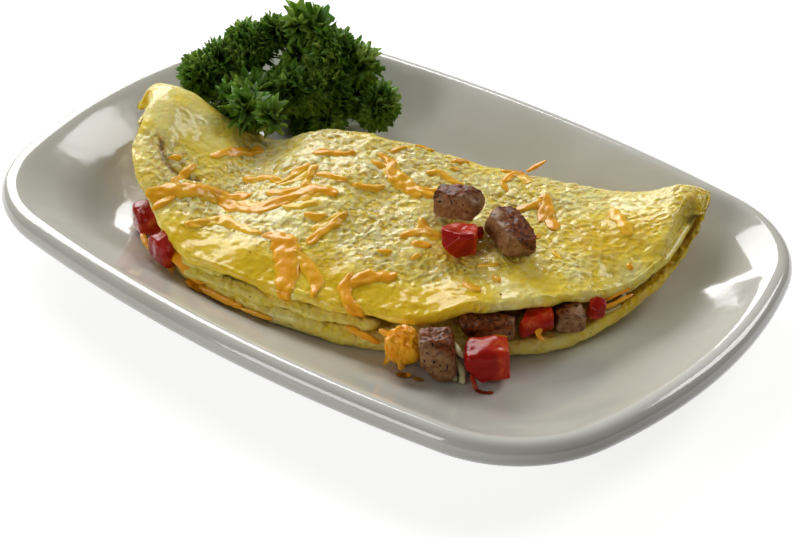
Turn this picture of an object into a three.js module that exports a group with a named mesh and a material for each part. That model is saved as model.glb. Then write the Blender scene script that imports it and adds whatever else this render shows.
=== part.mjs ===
// A folded omelette on its porcelain plate, with a bunch of parsley.
// Millimetres, +Z up, the middle of the plate's underside at the origin, the plate's long side along X.
import * as THREE from 'three';

// ---- plate: a rounded rectangle with gently bulging sides ----
const PLATE_HALF_LENGTH = 135.6;
const PLATE_HALF_WIDTH = 93;
const LONG_SIDE_RADIUS = 599;
const SHORT_SIDE_RADIUS = 189;
const CORNER_RADIUS = 46;
const WELL_INSET = 44;
const WELL_HEIGHT = 6;
const FOOT_HEIGHT = 1.8;
// section of the plate: distance out from the crest of the rim, height
const PLATE_INSIDE = [[-44, 6], [-38, 6.5], [-32, 7.8], [-26, 10], [-20, 13], [-14, 16.5], [-8, 20.2], [-3.5, 22.9], [-1, 23.9]];
const PLATE_OUTSIDE = [[1.2, 23.7], [3, 22.2], [3.8, 19.8], [3.2, 17.2], [0.8, 14.6], [-6, 11], [-16, 6.6], [-27, 3.2],
  [-34, 1.6], [-35, 0], [-39, 0], [-40.5, FOOT_HEIGHT]];

// ---- omelette: a half moon folded along its straight back ----
const FOLD_MIDDLE = { x: -11.5, y: 31 };
const FOLD_ANGLE = THREE.MathUtils.degToRad(21.1);
const HALF_SPAN = 107.5;
const EGG_THICKNESS = 4.2;
const LOWER_THICKNESS = 6.2;
const BACK_DEPTH = 12;
const BACK_START = 4;
const LOWER_REACH = 95;
const UPPER_REACH = 90;
const TIP_REACH = 9;
const FLAP_END = 98;
const TIP_LIFT = 13;
const TIP_START = 76;
const REST_GAP = 0.35;
const STATIONS = 40;
// heights of the flap along the fold: distance along it, height
const RIDGE = [[-107.5, 34], [-103, 38.8], [-97, 39.8], [-90, 38], [-82, 33.2], [-68, 27.5], [-58, 22.6], [-44, 29], [-32, 32.7],
  [-18, 34], [-5, 31.8], [14, 30.2], [33, 28.3], [44, 27.2], [70, 27.6], [84, 29.6], [93, 32.2], [101, 34], [107.5, 31]];
const LIP = [[-107.5, 32], [-98, 32], [-90, 30], [-84, 28], [-78, 24.5], [-70, 22.5], [-52, 21], [-20, 20], [20, 20.5],
  [31, 21], [38, 23.6], [47, 26.2], [70, 25.8], [82, 22.8], [89, 21.5], [98, 25], [107.5, 29.5]];

const colour = {
  porcelain: [0xd9d9d4, 0.12],
  egg: [0xe9dc8c, 0.38],
  filling: [0xd9a84e, 0.45],
  cheddar: [0xe79a2c, 0.35],
  sausage: [0x7a5546, 0.55],
  tomato: [0xb5301f, 0.25],
  parsley: [0x2f5f1c, 0.6],
};

const part = new THREE.Group();
part.name = 'plated_omelette';

// Smooth curve through stations that never overshoots them.
function curve(points) {
  const steps = points.slice(1).map((p, i) => (p[1] - points[i][1]) / (p[0] - points[i][0]));
  const slopes = points.map((p, i) => {
    const before = steps[i - 1] ?? steps[i];
    const after = steps[i] ?? before;
    return before * after <= 0 ? 0 : (2 * before * after) / (before + after);
  });
  return (x) => {
    const last = points.length - 2;
    const found = points.findIndex((p, i) => i > 0 && x <= p[0]) - 1;
    const i = found < 0 ? (x <= points[0][0] ? 0 : last) : found;
    const width = points[i + 1][0] - points[i][0];
    const t = THREE.MathUtils.clamp((x - points[i][0]) / width, 0, 1);
    const rise = points[i + 1][1] - points[i][1];
    const ease = t * t * (3 - 2 * t);
    const lead = t * (1 - t) * (1 - t) * width * slopes[i];
    const trail = t * t * (t - 1) * width * slopes[i + 1];
    return points[i][1] + rise * ease + lead + trail;
  };
}

// A closed mesh from rings of equal length; each end is a flat cap or a single point.
function closedMesh(name, rings, look, firstCap, lastCap) {
  const count = rings[0].length;
  const points = rings.flat();
  const faces = [];
  for (let r = 0; r + 1 < rings.length; r += 1) {
    for (let i = 0; i < count; i += 1) {
      const a = r * count + i;
      const b = r * count + ((i + 1) % count);
      faces.push([a, b, b + count], [a, b + count, a + count]);
    }
  }
  capRing(faces, points, 0, count, firstCap, true);
  capRing(faces, points, (rings.length - 1) * count, count, lastCap, false);
  return solid(name, points, faces, look);
}

function capRing(faces, points, start, count, cap, reversed) {
  const triangles = [];
  if (cap.point) {
    points.push(cap.point);
    for (let i = 0; i < count; i += 1) {
      triangles.push([start + i, start + ((i + 1) % count), points.length - 1]);
    }
  } else {
    const flat = points.slice(start, start + count).map(cap.flatten);
    const turn = THREE.ShapeUtils.isClockWise(flat);
    for (const [a, b, c] of THREE.ShapeUtils.triangulateShape(flat, [])) {
      triangles.push(turn ? [start + a, start + c, start + b] : [start + a, start + b, start + c]);
    }
    if (cap.turned) {
      triangles.forEach((t) => t.reverse());
    }
  }
  faces.push(...triangles.map((t) => (reversed ? [...t].reverse() : t)));
}

function solid(name, points, faces, [color, roughness]) {
  const geometry = new THREE.BufferGeometry();
  const flat = points.flatMap((p) => [p.x, p.y, p.z]);
  geometry.setAttribute('position', new THREE.Float32BufferAttribute(flat, 3));
  geometry.setIndex(faces.flat());
  const mesh = new THREE.Mesh(geometry, new THREE.MeshStandardMaterial({ color, roughness, metalness: 0 }));
  mesh.name = name;
  return mesh;
}

// ---- plate ----
// Centre of the corner arc: it touches both side arcs from inside.
function cornerCentre() {
  const long = { y: PLATE_HALF_WIDTH - LONG_SIDE_RADIUS, r: LONG_SIDE_RADIUS - CORNER_RADIUS };
  const short = { x: PLATE_HALF_LENGTH - SHORT_SIDE_RADIUS, r: SHORT_SIDE_RADIUS - CORNER_RADIUS };
  const apart = Math.hypot(short.x, long.y);
  const along = (long.r ** 2 - short.r ** 2 + apart ** 2) / (2 * apart);
  const across = Math.sqrt(long.r ** 2 - along ** 2);
  const ex = short.x / apart;
  const ey = -long.y / apart;
  const sides = [1, -1].map((s) => ({ x: along * ex - s * across * ey, y: long.y + along * ey + s * across * ex }));
  return sides[0].x + sides[0].y > sides[1].x + sides[1].y ? sides[0] : sides[1];
}

const corner = cornerCentre();
const longStart = Math.atan2(corner.y - (PLATE_HALF_WIDTH - LONG_SIDE_RADIUS), corner.x);
const shortEnd = Math.atan2(corner.y, corner.x - (PLATE_HALF_LENGTH - SHORT_SIDE_RADIUS));

// Directions round the plate, closer together at the corners.
function plateDirections() {
  const quarter = [];
  const fill = (from, to, n) => {
    for (let i = 0; i < n; i += 1) {
      quarter.push(from + ((to - from) * i) / n);
    }
  };
  fill(0, shortEnd, 3);
  fill(shortEnd, longStart, 9);
  fill(longStart, Math.PI / 2, 4);
  const half = [...quarter, Math.PI / 2, ...quarter.slice(1).reverse().map((t) => Math.PI - t)];
  return [...half, ...half.map((t) => t + Math.PI)];
}

function plateRing(offset, height) {
  return plateDirections().map((t) => {
    const c = Math.cos(t);
    const s = Math.sin(t);
    const quarterTurn = Math.atan2(Math.abs(s), Math.abs(c));
    let arc = { x: corner.x, y: corner.y, r: CORNER_RADIUS };
    if (quarterTurn > longStart + 1e-9) {
      arc = { x: 0, y: PLATE_HALF_WIDTH - LONG_SIDE_RADIUS, r: LONG_SIDE_RADIUS };
    } else if (quarterTurn < shortEnd - 1e-9) {
      arc = { x: PLATE_HALF_LENGTH - SHORT_SIDE_RADIUS, y: 0, r: SHORT_SIDE_RADIUS };
    }
    const x = Math.sign(c) * arc.x + (arc.r + offset) * c;
    const y = Math.sign(s) * arc.y + (arc.r + offset) * s;
    return new THREE.Vector3(x, y, height);
  });
}

function plate() {
  const rings = [...PLATE_INSIDE, ...PLATE_OUTSIDE].map(([offset, height]) => plateRing(offset, height));
  const top = { point: new THREE.Vector3(0, 0, WELL_HEIGHT) };
  const under = { point: new THREE.Vector3(0, 0, FOOT_HEIGHT) };
  rings.reverse();
  return closedMesh('plate', rings, colour.porcelain, under, top);
}

// How far a point lies inside the crest of the rim.
function insetAt(x, y) {
  const px = Math.abs(x);
  const py = Math.abs(y);
  const longY = PLATE_HALF_WIDTH - LONG_SIDE_RADIUS;
  const shortX = PLATE_HALF_LENGTH - SHORT_SIDE_RADIUS;
  const fromLong = LONG_SIDE_RADIUS - Math.hypot(px, py - longY);
  const fromShort = SHORT_SIDE_RADIUS - Math.hypot(px - shortX, py);
  const nearLong = Math.atan2(py - longY, px) >= longStart;
  const nearShort = Math.atan2(py, px - shortX) <= shortEnd;
  if (nearLong && nearShort) {
    return Math.min(fromLong, fromShort);
  }
  if (nearLong) {
    return fromLong;
  }
  return nearShort ? fromShort : CORNER_RADIUS - Math.hypot(px - corner.x, py - corner.y);
}

function plateTop(x, y) {
  const offset = -Math.min(insetAt(x, y), WELL_INSET);
  const i = PLATE_INSIDE.findIndex((p) => offset <= p[0]);
  if (i <= 0) {
    return i === 0 ? WELL_HEIGHT : PLATE_INSIDE.at(-1)[1];
  }
  const [from, to] = [PLATE_INSIDE[i - 1], PLATE_INSIDE[i]];
  return from[1] + ((to[1] - from[1]) * (offset - from[0])) / (to[0] - from[0]);
}

// ---- omelette frame: u along the fold, v out from it to the round edge ----
function place(u, v, z) {
  const c = Math.cos(FOLD_ANGLE);
  const s = Math.sin(FOLD_ANGLE);
  return new THREE.Vector3(FOLD_MIDDLE.x + u * c + v * s, FOLD_MIDDLE.y + u * s - v * c, z);
}

const ridgeHeight = curve(RIDGE);
const lipHeight = curve(LIP);
const bell = (x, middle, width) => Math.exp(-(((x - middle) / width) ** 2));
const roundEdge = (u) => Math.sqrt(Math.max(0, 1 - (u / HALF_SPAN) ** 2));
const lowerReach = (u) => {
  const tucked = 16 * bell(u, -86, 13);
  return Math.max(TIP_REACH, LOWER_REACH * roundEdge(u) + 4 * bell(u, 72, 22) - tucked);
};
// The flap stops short of both tips, so the lower layer shows beyond it.
const upperReach = (u) => {
  const uneven = 4 * bell(u, -62, 16) + 3 * bell(u, 24, 12) + 1.5 * bell(u, 58, 14);
  const reach = Math.max(TIP_REACH, UPPER_REACH * roundEdge(u) + uneven);
  return THREE.MathUtils.lerp(reach, TIP_REACH, THREE.MathUtils.smoothstep(Math.abs(u), FLAP_END, FLAP_END + 6));
};

function underside(u, v) {
  const beyond = Math.max(0, Math.abs(u) - TIP_START) / (HALF_SPAN - TIP_START);
  const spot = place(u, v, 0);
  return plateTop(spot.x, spot.y) + REST_GAP + TIP_LIFT * beyond ** 1.5;
}

function flapTop(u, v) {
  const share = THREE.MathUtils.clamp((v - BACK_START) / (upperReach(u) - BACK_START), 0, 1);
  const lump = 0.7 * Math.sin(u / 7.5 + 1) * Math.sin(v / 9) * (1 - share);
  return lipHeight(u) + (ridgeHeight(u) - lipHeight(u)) * (1 - share ** 1.8) + lump;
}

// One slice across the fold: lower layer, round back, flap, then back along the inside.
function eggSlice(u) {
  const slice = [];
  const add = (v, z) => slice.push(place(u, v, z));
  const lower = lowerReach(u);
  const upper = upperReach(u);
  const tip = THREE.MathUtils.smoothstep(Math.abs(u), 84, HALF_SPAN);
  const lowerThick = THREE.MathUtils.lerp(LOWER_THICKNESS, 2.4, tip);
  const upperThick = THREE.MathUtils.lerp(EGG_THICKNESS, 2.4, tip);
  const back = (depth, low, high, n) => {
    const middle = (low + high) / 2;
    const half = (high - low) / 2;
    for (let i = 0; i <= n; i += 1) {
      const turn = -Math.PI / 2 + (Math.PI * i) / n;
      add(BACK_START - depth * Math.cos(turn), middle + half * Math.sin(turn));
    }
  };
  const run = (from, to, n, height) => {
    for (let i = 1; i < n; i += 1) {
      const v = THREE.MathUtils.lerp(from, to, i / n);
      add(v, height(v));
    }
  };
  const floor = (v) => underside(u, v);
  const lowerTop = (v) => floor(v) + lowerThick;
  const flapUnder = (v) => flapTop(u, v) - upperThick;
  add(lower, floor(lower) + lowerThick * 0.35);
  add(lower - 1.5, floor(lower - 1.5));
  run(lower - 1.5, BACK_START, 9, floor);
  back(BACK_DEPTH, floor(BACK_START), flapTop(u, BACK_START), 8);
  run(BACK_START, upper - 1.6, 10, (v) => flapTop(u, v));
  add(upper - 1.6, flapTop(u, upper - 1.6));
  add(upper, flapTop(u, upper) - upperThick * 0.45);
  add(upper - 1.4, flapUnder(upper - 1.4));
  run(upper - 1.4, BACK_START, 8, flapUnder);
  const inner = [];
  const low = lowerTop(BACK_START);
  const high = flapUnder(BACK_START);
  for (let i = 4; i >= 0; i -= 1) {
    const turn = -Math.PI / 2 + (Math.PI * i) / 4;
    inner.push([BACK_START - (BACK_DEPTH - upperThick) * Math.cos(turn), (low + high) / 2 + ((high - low) / 2) * Math.sin(turn)]);
  }
  inner.forEach(([v, z]) => add(v, z));
  run(BACK_START, lower - 1.2, 8, lowerTop);
  add(lower - 1.2, lowerTop(lower - 1.2));
  return slice;
}

// Slices along the fold, closer together towards the tips.
function along(count, reach) {
  return Array.from({ length: count }, (_, i) => {
    const t = (2 * i) / (count - 1) - 1;
    return reach * (0.72 * t + 0.28 * Math.sin((t * Math.PI) / 2));
  });
}

const acrossFold = (p) => {
  const v = (p.x - FOLD_MIDDLE.x) * Math.sin(FOLD_ANGLE) - (p.y - FOLD_MIDDLE.y) * Math.cos(FOLD_ANGLE);
  return new THREE.Vector2(v, p.z);
};

function foldedEgg() {
  const slices = along(STATIONS, HALF_SPAN).map(eggSlice);
  const cap = { flatten: acrossFold, turned: false };
  return closedMesh('egg', slices, colour.egg, cap, cap);
}

// ---- filling: the warm mass of cheese, sausage and tomato that runs through the fold ----
const FILLING_HALF = 90;
const FILLING_GAP = 0.8;

function fillingSlice(u) {
  const slice = [];
  const opening = 1 / (1 + Math.exp(-(u - 18) / 4));
  const front = Math.min(upperReach(u), lowerReach(u)) - THREE.MathUtils.lerp(6, 11, opening);
  const low = (v) => underside(u, v) + LOWER_THICKNESS + FILLING_GAP;
  const high = (v) => Math.max(flapTop(u, v) - EGG_THICKNESS - FILLING_GAP, low(v) + 0.8);
  const middle = (v) => (low(v) + high(v)) / 2;
  const back = BACK_START - (BACK_DEPTH - EGG_THICKNESS) * 0.6;
  const stops = [0, 0.25, 0.5, 0.75, 1].map((t) => THREE.MathUtils.lerp(BACK_START + 2, front - 1.5, t));
  slice.push(place(u, front, middle(front)));
  [...stops].reverse().forEach((v) => slice.push(place(u, v, low(v))));
  slice.push(place(u, back, middle(BACK_START)));
  stops.forEach((v) => slice.push(place(u, v, high(v))));
  return slice;
}

function filling() {
  const slices = along(STATIONS, HALF_SPAN).filter((u) => Math.abs(u) < FILLING_HALF).map(fillingSlice);
  const cap = { flatten: acrossFold, turned: false };
  return closedMesh('filling', slices, colour.filling, cap, cap);
}

// ---- chunks: diced tomato, cut sausage, clotted cheese ----
const CHUNK_SIDES = 8;
const CHUNK_RINGS = [-65, -34, 0, 34, 65].map(THREE.MathUtils.degToRad);
const power = (value, exponent) => Math.sign(value) * Math.abs(value) ** exponent;

// A dice-like lump, a little uneven, let down until it rests on what is below it.
function chunk(name, look, { at, size, turn, tilt, squareness, floor }) {
  const frame = new THREE.Matrix4().makeRotationFromEuler(new THREE.Euler(tilt, 0, turn - Math.PI / 2 + FOLD_ANGLE, 'ZYX'));
  const [length, depth, height] = size;
  const uneven = (p) => 1 + 0.06 * Math.sin(3.1 * p.x + at[0]) * Math.cos(2.3 * p.y + at[1]) + 0.04 * Math.sin(4 * p.z + at[0]);
  const shape = (lat, lon) => {
    const ring = power(Math.cos(lat), squareness);
    const p = new THREE.Vector3(ring * power(Math.cos(lon), squareness), ring * power(Math.sin(lon), squareness),
      power(Math.sin(lat), squareness));
    return p.multiplyScalar(uneven(p)).multiply(new THREE.Vector3(depth / 2, length / 2, height / 2)).applyMatrix4(frame);
  };
  const rings = CHUNK_RINGS.map((lat) => Array.from({ length: CHUNK_SIDES }, (_, i) =>
    shape(lat, ((i + 0.5) * 2 * Math.PI) / CHUNK_SIDES)));
  const poles = [shape(-Math.PI / 2, 0), shape(Math.PI / 2, 0)];
  const middle = place(at[0], at[1], 0);
  const all = [...rings.flat(), ...poles];
  all.forEach((p) => p.add(middle));
  const drop = Math.max(...all.map((p) => floor(p) + REST_GAP - p.z));
  all.forEach((p) => {
    p.z += drop;
  });
  return closedMesh(name, rings, look, { point: poles[0] }, { point: poles[1] });
}

function toFold(p) {
  const x = p.x - FOLD_MIDDLE.x;
  const y = p.y - FOLD_MIDDLE.y;
  const c = Math.cos(FOLD_ANGLE);
  const s = Math.sin(FOLD_ANGLE);
  return { u: x * c + y * s, v: x * s - y * c };
}

const onPlate = (p) => plateTop(p.x, p.y);
const onFlap = (p) => {
  const { u, v } = toFold(p);
  return flapTop(u, v);
};
const onLower = (p) => {
  const { u, v } = toFold(p);
  return underside(u, v) + LOWER_THICKNESS;
};

function chunks() {
  const { sausage, tomato, cheddar } = colour;
  return [
    chunk('top_sausage_a', sausage, { at: [26.5, 35.5], size: [17, 10, 9], turn: -0.1, tilt: 0.1, squareness: 0.6, floor: onFlap }),
    chunk('top_sausage_b', sausage, { at: [48.6, 45.2], size: [11.5, 23, 10], turn: 0.72, tilt: 0, squareness: 0.6, floor: onFlap }),
    chunk('top_tomato_a', tomato, { at: [32, 54.5], size: [12, 11, 10], turn: 0.2, tilt: 0, squareness: 0.45, floor: onFlap }),
    chunk('top_tomato_b', tomato, { at: [36.2, 44.6], size: [4.4, 6, 4], turn: 0, tilt: 0, squareness: 0.6, floor: onFlap }),
    chunk('cheese_front', cheddar, { at: [26, 98.3], size: [12, 9, 13], turn: 0.2, tilt: 0.15, squareness: 0.75, floor: onPlate }),
    chunk('sausage_front_a', sausage, { at: [37.5, 97.8], size: [11, 12, 15], turn: 0.3, tilt: 0.1, squareness: 0.5, floor: onPlate }),
    chunk('tomato_front_a', tomato, { at: [53.5, 93.5], size: [15, 12, 12], turn: 0.35, tilt: 0.1, squareness: 0.45, floor: onPlate }),
    chunk('sausage_front_b', sausage, { at: [50.5, 81.9], size: [20, 7.4, 8], turn: 0.16, tilt: 0, squareness: 0.65, floor: onLower }),
    chunk('tomato_front_b', tomato, { at: [64.5, 74], size: [10, 9, 8.5], turn: 0.3, tilt: 0.1, squareness: 0.55, floor: onLower }),
    chunk('sausage_front_c', sausage, { at: [74.5, 68], size: [9, 8, 8], turn: 0.5, tilt: 0, squareness: 0.5, floor: onLower }),
    chunk('tomato_front_c', tomato, { at: [82.2, 60.6], size: [6.5, 5.2, 6.2], turn: 0.7, tilt: 0, squareness: 0.55, floor: onLower }),
    chunk('tomato_left_a', tomato, { at: [-89.5, 50.2], size: [12.5, 9.5, 9], turn: -0.75, tilt: 0.1, squareness: 0.55, floor: onPlate }),
    chunk('tomato_left_b', tomato, { at: [-73.5, 72.4], size: [13, 8, 9], turn: -0.5, tilt: 0.1, squareness: 0.6, floor: onPlate }),
  ];
}

// ---- parsley: one bunch, solid out to its ragged outline ----
const PARSLEY_MIDDLE = new THREE.Vector3(-82, 38, 27);
const PARSLEY_BASE = 19;
const PARSLEY_CLEAR = 1.6;
const PARSLEY_RINGS = 15;
const PARSLEY_SIDES = 34;
// tips of the fronds and how widely each one spreads, in radians
const FRONDS = [[-82, 43, 59, 0.42], [-93, 38, 52, 0.34], [-105, 30, 46, 0.36], [-120, 22, 31, 0.36], [-113, 12, 24, 0.34],
  [-66, 52, 48, 0.36], [-57, 58, 41, 0.36], [-47, 66, 22, 0.36], [-54, 55, 10, 0.36], [-60, -6, 31, 0.3], [-72, 12, 35, 0.4],
  [-92, 8, 29, 0.34], [-106, 48, 29, 0.45], [-82, 66, 26, 0.5], [-68, 27, 45, 0.4], [-58, 38, 32, 0.4], [-100, 26, 4, 0.6],
  [-74, 46, 0, 0.7], [-90, 62, 6, 0.5]];

function frondLength(direction) {
  const lengths = FRONDS.map(([x, y, z, spread]) => {
    const tip = new THREE.Vector3(x, y, z).sub(PARSLEY_MIDDLE);
    const reach = tip.length();
    return PARSLEY_BASE + (reach - PARSLEY_BASE) * bell(direction.angleTo(tip), 0, spread);
  });
  return Math.max(...lengths);
}

// True where a point is clear of the plate and of the folded egg.
function isClear(p) {
  if (p.z < plateTop(p.x, p.y) + REST_GAP || insetAt(p.x, p.y) < 1) {
    return false;
  }
  const { u, v } = toFold(p);
  if (Math.abs(u) > HALF_SPAN + 1 || v > upperReach(u) + 1) {
    return true;
  }
  const top = flapTop(u, Math.max(v, BACK_START)) + PARSLEY_CLEAR;
  if (v > BACK_START) {
    return p.z > top;
  }
  const low = underside(u, BACK_START);
  const round = Math.max(0, 1 - ((2 * p.z - top - low) / (top - low)) ** 2);
  return p.z > top || v < BACK_START - (BACK_DEPTH + PARSLEY_CLEAR) * Math.sqrt(round) - 0.6;
}

function parsley() {
  const reach = (lat, lon) => {
    const direction = new THREE.Vector3(Math.cos(lat) * Math.cos(lon), Math.cos(lat) * Math.sin(lon), Math.sin(lat));
    const ruffle = 1 + 0.05 * Math.sin(9 * lon + 5 * lat) + 0.04 * Math.sin(7 * lat - 4 * lon);
    let length = frondLength(direction) * ruffle;
    const at = () => direction.clone().multiplyScalar(length).add(PARSLEY_MIDDLE);
    while (!isClear(at()) && length > 2) {
      length -= 0.25;
    }
    return at();
  };
  const rings = Array.from({ length: PARSLEY_RINGS }, (_, r) => {
    const lat = (Math.PI * (r + 1)) / (PARSLEY_RINGS + 1) - Math.PI / 2;
    return Array.from({ length: PARSLEY_SIDES }, (__, i) => reach(lat, (2 * Math.PI * i) / PARSLEY_SIDES));
  });
  return closedMesh('parsley', rings, colour.parsley, { point: reach(-Math.PI / 2, 0) }, { point: reach(Math.PI / 2, 0) });
}

part.add(plate(), foldedEgg(), filling(), ...chunks(), parsley());

export default part;
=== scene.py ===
# %% [markdown]
# # A folded omelette on its plate, with parsley
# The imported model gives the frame: every piece here takes its place from it, in metres, with +Z up.
# The CAD solids have the true overall form. This file replaces each of them with a finer piece that
# keeps its place and size and adds what is too small for a solid: pits, wrinkles, shreds, leaves.

# %% Load the frame
import itertools
import math

import bmesh
import bpy
import numpy as np
from mathutils import Matrix, Vector


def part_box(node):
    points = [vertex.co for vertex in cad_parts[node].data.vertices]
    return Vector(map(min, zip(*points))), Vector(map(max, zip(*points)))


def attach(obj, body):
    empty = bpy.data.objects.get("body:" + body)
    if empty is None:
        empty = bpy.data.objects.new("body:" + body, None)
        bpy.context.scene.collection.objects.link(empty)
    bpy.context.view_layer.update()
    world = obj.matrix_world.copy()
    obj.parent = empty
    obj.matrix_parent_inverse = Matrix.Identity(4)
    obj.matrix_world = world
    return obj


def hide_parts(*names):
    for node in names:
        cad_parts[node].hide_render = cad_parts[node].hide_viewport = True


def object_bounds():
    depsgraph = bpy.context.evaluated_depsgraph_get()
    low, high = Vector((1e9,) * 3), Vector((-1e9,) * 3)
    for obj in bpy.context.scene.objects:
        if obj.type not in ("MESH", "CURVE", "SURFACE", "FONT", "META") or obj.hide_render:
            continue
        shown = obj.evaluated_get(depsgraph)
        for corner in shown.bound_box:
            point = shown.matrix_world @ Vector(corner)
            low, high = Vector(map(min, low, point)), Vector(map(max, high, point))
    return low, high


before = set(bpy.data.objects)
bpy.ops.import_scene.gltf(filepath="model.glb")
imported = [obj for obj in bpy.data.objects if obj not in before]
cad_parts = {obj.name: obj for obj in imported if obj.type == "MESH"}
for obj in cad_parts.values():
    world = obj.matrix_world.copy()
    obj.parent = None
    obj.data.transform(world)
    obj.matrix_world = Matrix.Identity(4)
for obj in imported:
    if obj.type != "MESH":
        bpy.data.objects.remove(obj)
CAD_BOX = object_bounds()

MM = 0.001
over_all = [round(float(v), 4) for v in CAD_BOX[1] - CAD_BOX[0]]
print("frame loaded:", len(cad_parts), "nodes, box", over_all)

# %% [markdown]
# ## Small tools
# Food is uneven, so most surfaces here are grids of points that follow a rule and are then disturbed
# by random fields. The fields are made from a lattice of repeatable random numbers, so every run
# gives the same omelette. Lengths in the rules are millimetres; a mesh is scaled to metres last.


# %% Curves and random fields
def smooth_curve(stations):
    """A function through (x, y) stations that never overshoots them."""
    x, y = np.array(stations, float).T
    steps = np.diff(y) / np.diff(x)
    slopes = np.concatenate([steps, steps[-1:]])
    product = steps[:-1] * steps[1:]
    total = np.where(product > 0, steps[:-1] + steps[1:], 1)
    slopes[1:-1] = np.where(product > 0, 2 * product / total, 0)

    def at(q):
        q = np.clip(q, x[0], x[-1])
        i = np.clip(np.searchsorted(x, q) - 1, 0, len(x) - 2)
        width = x[i + 1] - x[i]
        t = (q - x[i]) / width
        ease = (y[i + 1] - y[i]) * t * t * (3 - 2 * t)
        return y[i] + ease + width * (t * (1 - t) ** 2 * slopes[i] + t * t * (t - 1) * slopes[i + 1])

    return at


# large primes scramble a cell's whole numbers, and the mask keeps the result to 32 bits
AXIS_PRIMES = (73856093, 19349663, 83492791)
SCRAMBLE_PRIME = 1274126177
SEED_PRIME = 7919
MASK = 0xFFFFFFFF


def lattice(cells, seed):
    """A repeatable random number from 0 to 1 for each whole-numbered cell."""
    h = np.full(cells.shape[:-1], seed * SEED_PRIME + 17, np.int64)
    for axis, prime in zip(range(cells.shape[-1]), AXIS_PRIMES):
        h = (h ^ (cells[..., axis] * prime)) & MASK
        h = ((h ^ (h >> 13)) * SCRAMBLE_PRIME) & MASK
    return ((h ^ (h >> 16)) & MASK) / MASK


def bumps(points, size, seed):
    """Soft random bumps from -1 to 1, about `size` millimetres apart."""
    scaled = np.stack(points, -1) / size
    cell = np.floor(scaled).astype(np.int64)
    t = scaled - cell
    t = t * t * (3 - 2 * t)
    total = np.zeros(scaled.shape[:-1])
    for corner in itertools.product((0, 1), repeat=scaled.shape[-1]):
        weight = np.prod(np.where(corner, t, 1 - t), axis=-1)
        total += weight * lattice(cell + np.array(corner), seed)
    return 2 * total - 1


def bubbles(points, size, seed):
    """(distance to the nearest bubble's centre over its radius, a random number for that bubble)."""
    scaled = np.stack(points, -1) / size
    cell = np.floor(scaled).astype(np.int64)
    nearest = np.full(scaled.shape[:-1], 9.0)
    kind = np.zeros_like(nearest)
    for corner in itertools.product((-1, 0, 1), repeat=scaled.shape[-1]):
        home = cell + np.array(corner)
        shift = [lattice(home, seed + 31 * axis) for axis in range(1, scaled.shape[-1] + 1)]
        centre = home + np.stack(shift, -1)
        pick = lattice(home, seed + 997)
        distance = np.linalg.norm(scaled - centre, axis=-1) / (0.25 + 0.45 * pick)
        kind = np.where(distance < nearest, pick, kind)
        nearest = np.minimum(nearest, distance)
    return nearest, kind


def step(x, start, end):
    """0 before start, 1 after end, smooth between."""
    t = np.clip((x - start) / (end - start), 0, 1)
    return t * t * (3 - 2 * t)


def bell(x, middle, width):
    """1 at the middle, falling away softly on both sides."""
    return np.exp(-(((x - middle) / width) ** 2))


print("tools ready")

# %% [markdown]
# A mesh can be modelled by hand from a primitive, or be written down as rows of points with
# four-sided faces between them. A grid of points is the better start for food, because a rule can
# move every point. Each finished piece then gets one material and rides on the object's one body in
# place of the CAD solids that it stands for.

# %% Meshes from grids of points
ROOT = "root"
DOUBLES_WITHIN = 2e-6
PIECES = []


def mesh_piece(name, points, faces, looks=None):
    """A mesh object from points in millimetres, with per-point colours or numbers for its material."""
    mesh = bpy.data.meshes.new(name)
    mesh.from_pydata((np.asarray(points, float) * MM).tolist(), [], [tuple(f) for f in faces])
    for key, values in (looks or {}).items():
        values = np.asarray(values, np.float32)
        kind = "FLOAT_COLOR" if values.ndim == 2 else "FLOAT"
        layer = mesh.attributes.new(key, kind, "POINT")
        if kind == "FLOAT_COLOR":
            rgba = np.concatenate([values, np.ones((len(values), 1), np.float32)], 1)
            layer.data.foreach_set("color", rgba.ravel())
        else:
            layer.data.foreach_set("value", values.ravel())
    mesh.shade_smooth()
    piece = bpy.data.objects.new(name, mesh)
    bpy.context.scene.collection.objects.link(piece)
    return piece


def grid_faces(rows, columns, start=0, close_columns=True):
    """Four-sided faces of a grid whose rows run one after another."""
    last = columns if close_columns else columns - 1
    r, c = np.meshgrid(np.arange(rows - 1), np.arange(last), indexing="ij")
    after = (c + 1) % columns
    a, b = r * columns + c, r * columns + after
    quads = np.stack([a, b, b + columns, a + columns], -1).reshape(-1, 4) + start
    return quads.tolist()


def tidy(piece):
    """Merges doubles, cuts flat caps into triangles and points every face outwards."""
    work = bmesh.new()
    work.from_mesh(piece.data)
    bmesh.ops.remove_doubles(work, verts=work.verts, dist=DOUBLES_WITHIN)
    bmesh.ops.triangulate(work, faces=[f for f in work.faces if len(f.verts) > 4])
    bmesh.ops.recalc_face_normals(work, faces=work.faces)
    work.to_mesh(piece.data)
    work.free()
    return piece


def rest_on_plate(piece, clear=0.35):
    """Lifts any point that would sink into the plate, so that soft things lie on it."""
    points = np.array([v.co for v in piece.data.vertices]) / MM
    points[:, 2] = np.maximum(points[:, 2], plate_top(points[:, 0], points[:, 1]) + clear)
    piece.data.vertices.foreach_set("co", (points * MM).astype(np.float32).ravel())
    piece.data.update()
    return piece


def finish_piece(piece, material, slot, *nodes):
    """Gives a piece its material and puts it on the object in place of its CAD nodes; `slot` is not used."""
    piece.data.materials.clear()
    piece.data.materials.append(material)
    if nodes:
        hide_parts(*nodes)
    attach(piece, ROOT)
    piece.data.calc_loop_triangles()
    PIECES.append(piece.name)
    print(f"{piece.name}: {len(piece.data.loop_triangles)} triangles")
    return piece


print("mesh tools ready")

# %% [markdown]
# A material is a small tree of nodes. Its tree can be drawn by hand in the shader editor, or be
# written in the script as here, where each line adds one node and says what feeds it. Colours are
# typed as the sRGB hex values that a colour picker shows, and turned to the linear light that the
# shader works in.

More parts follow.
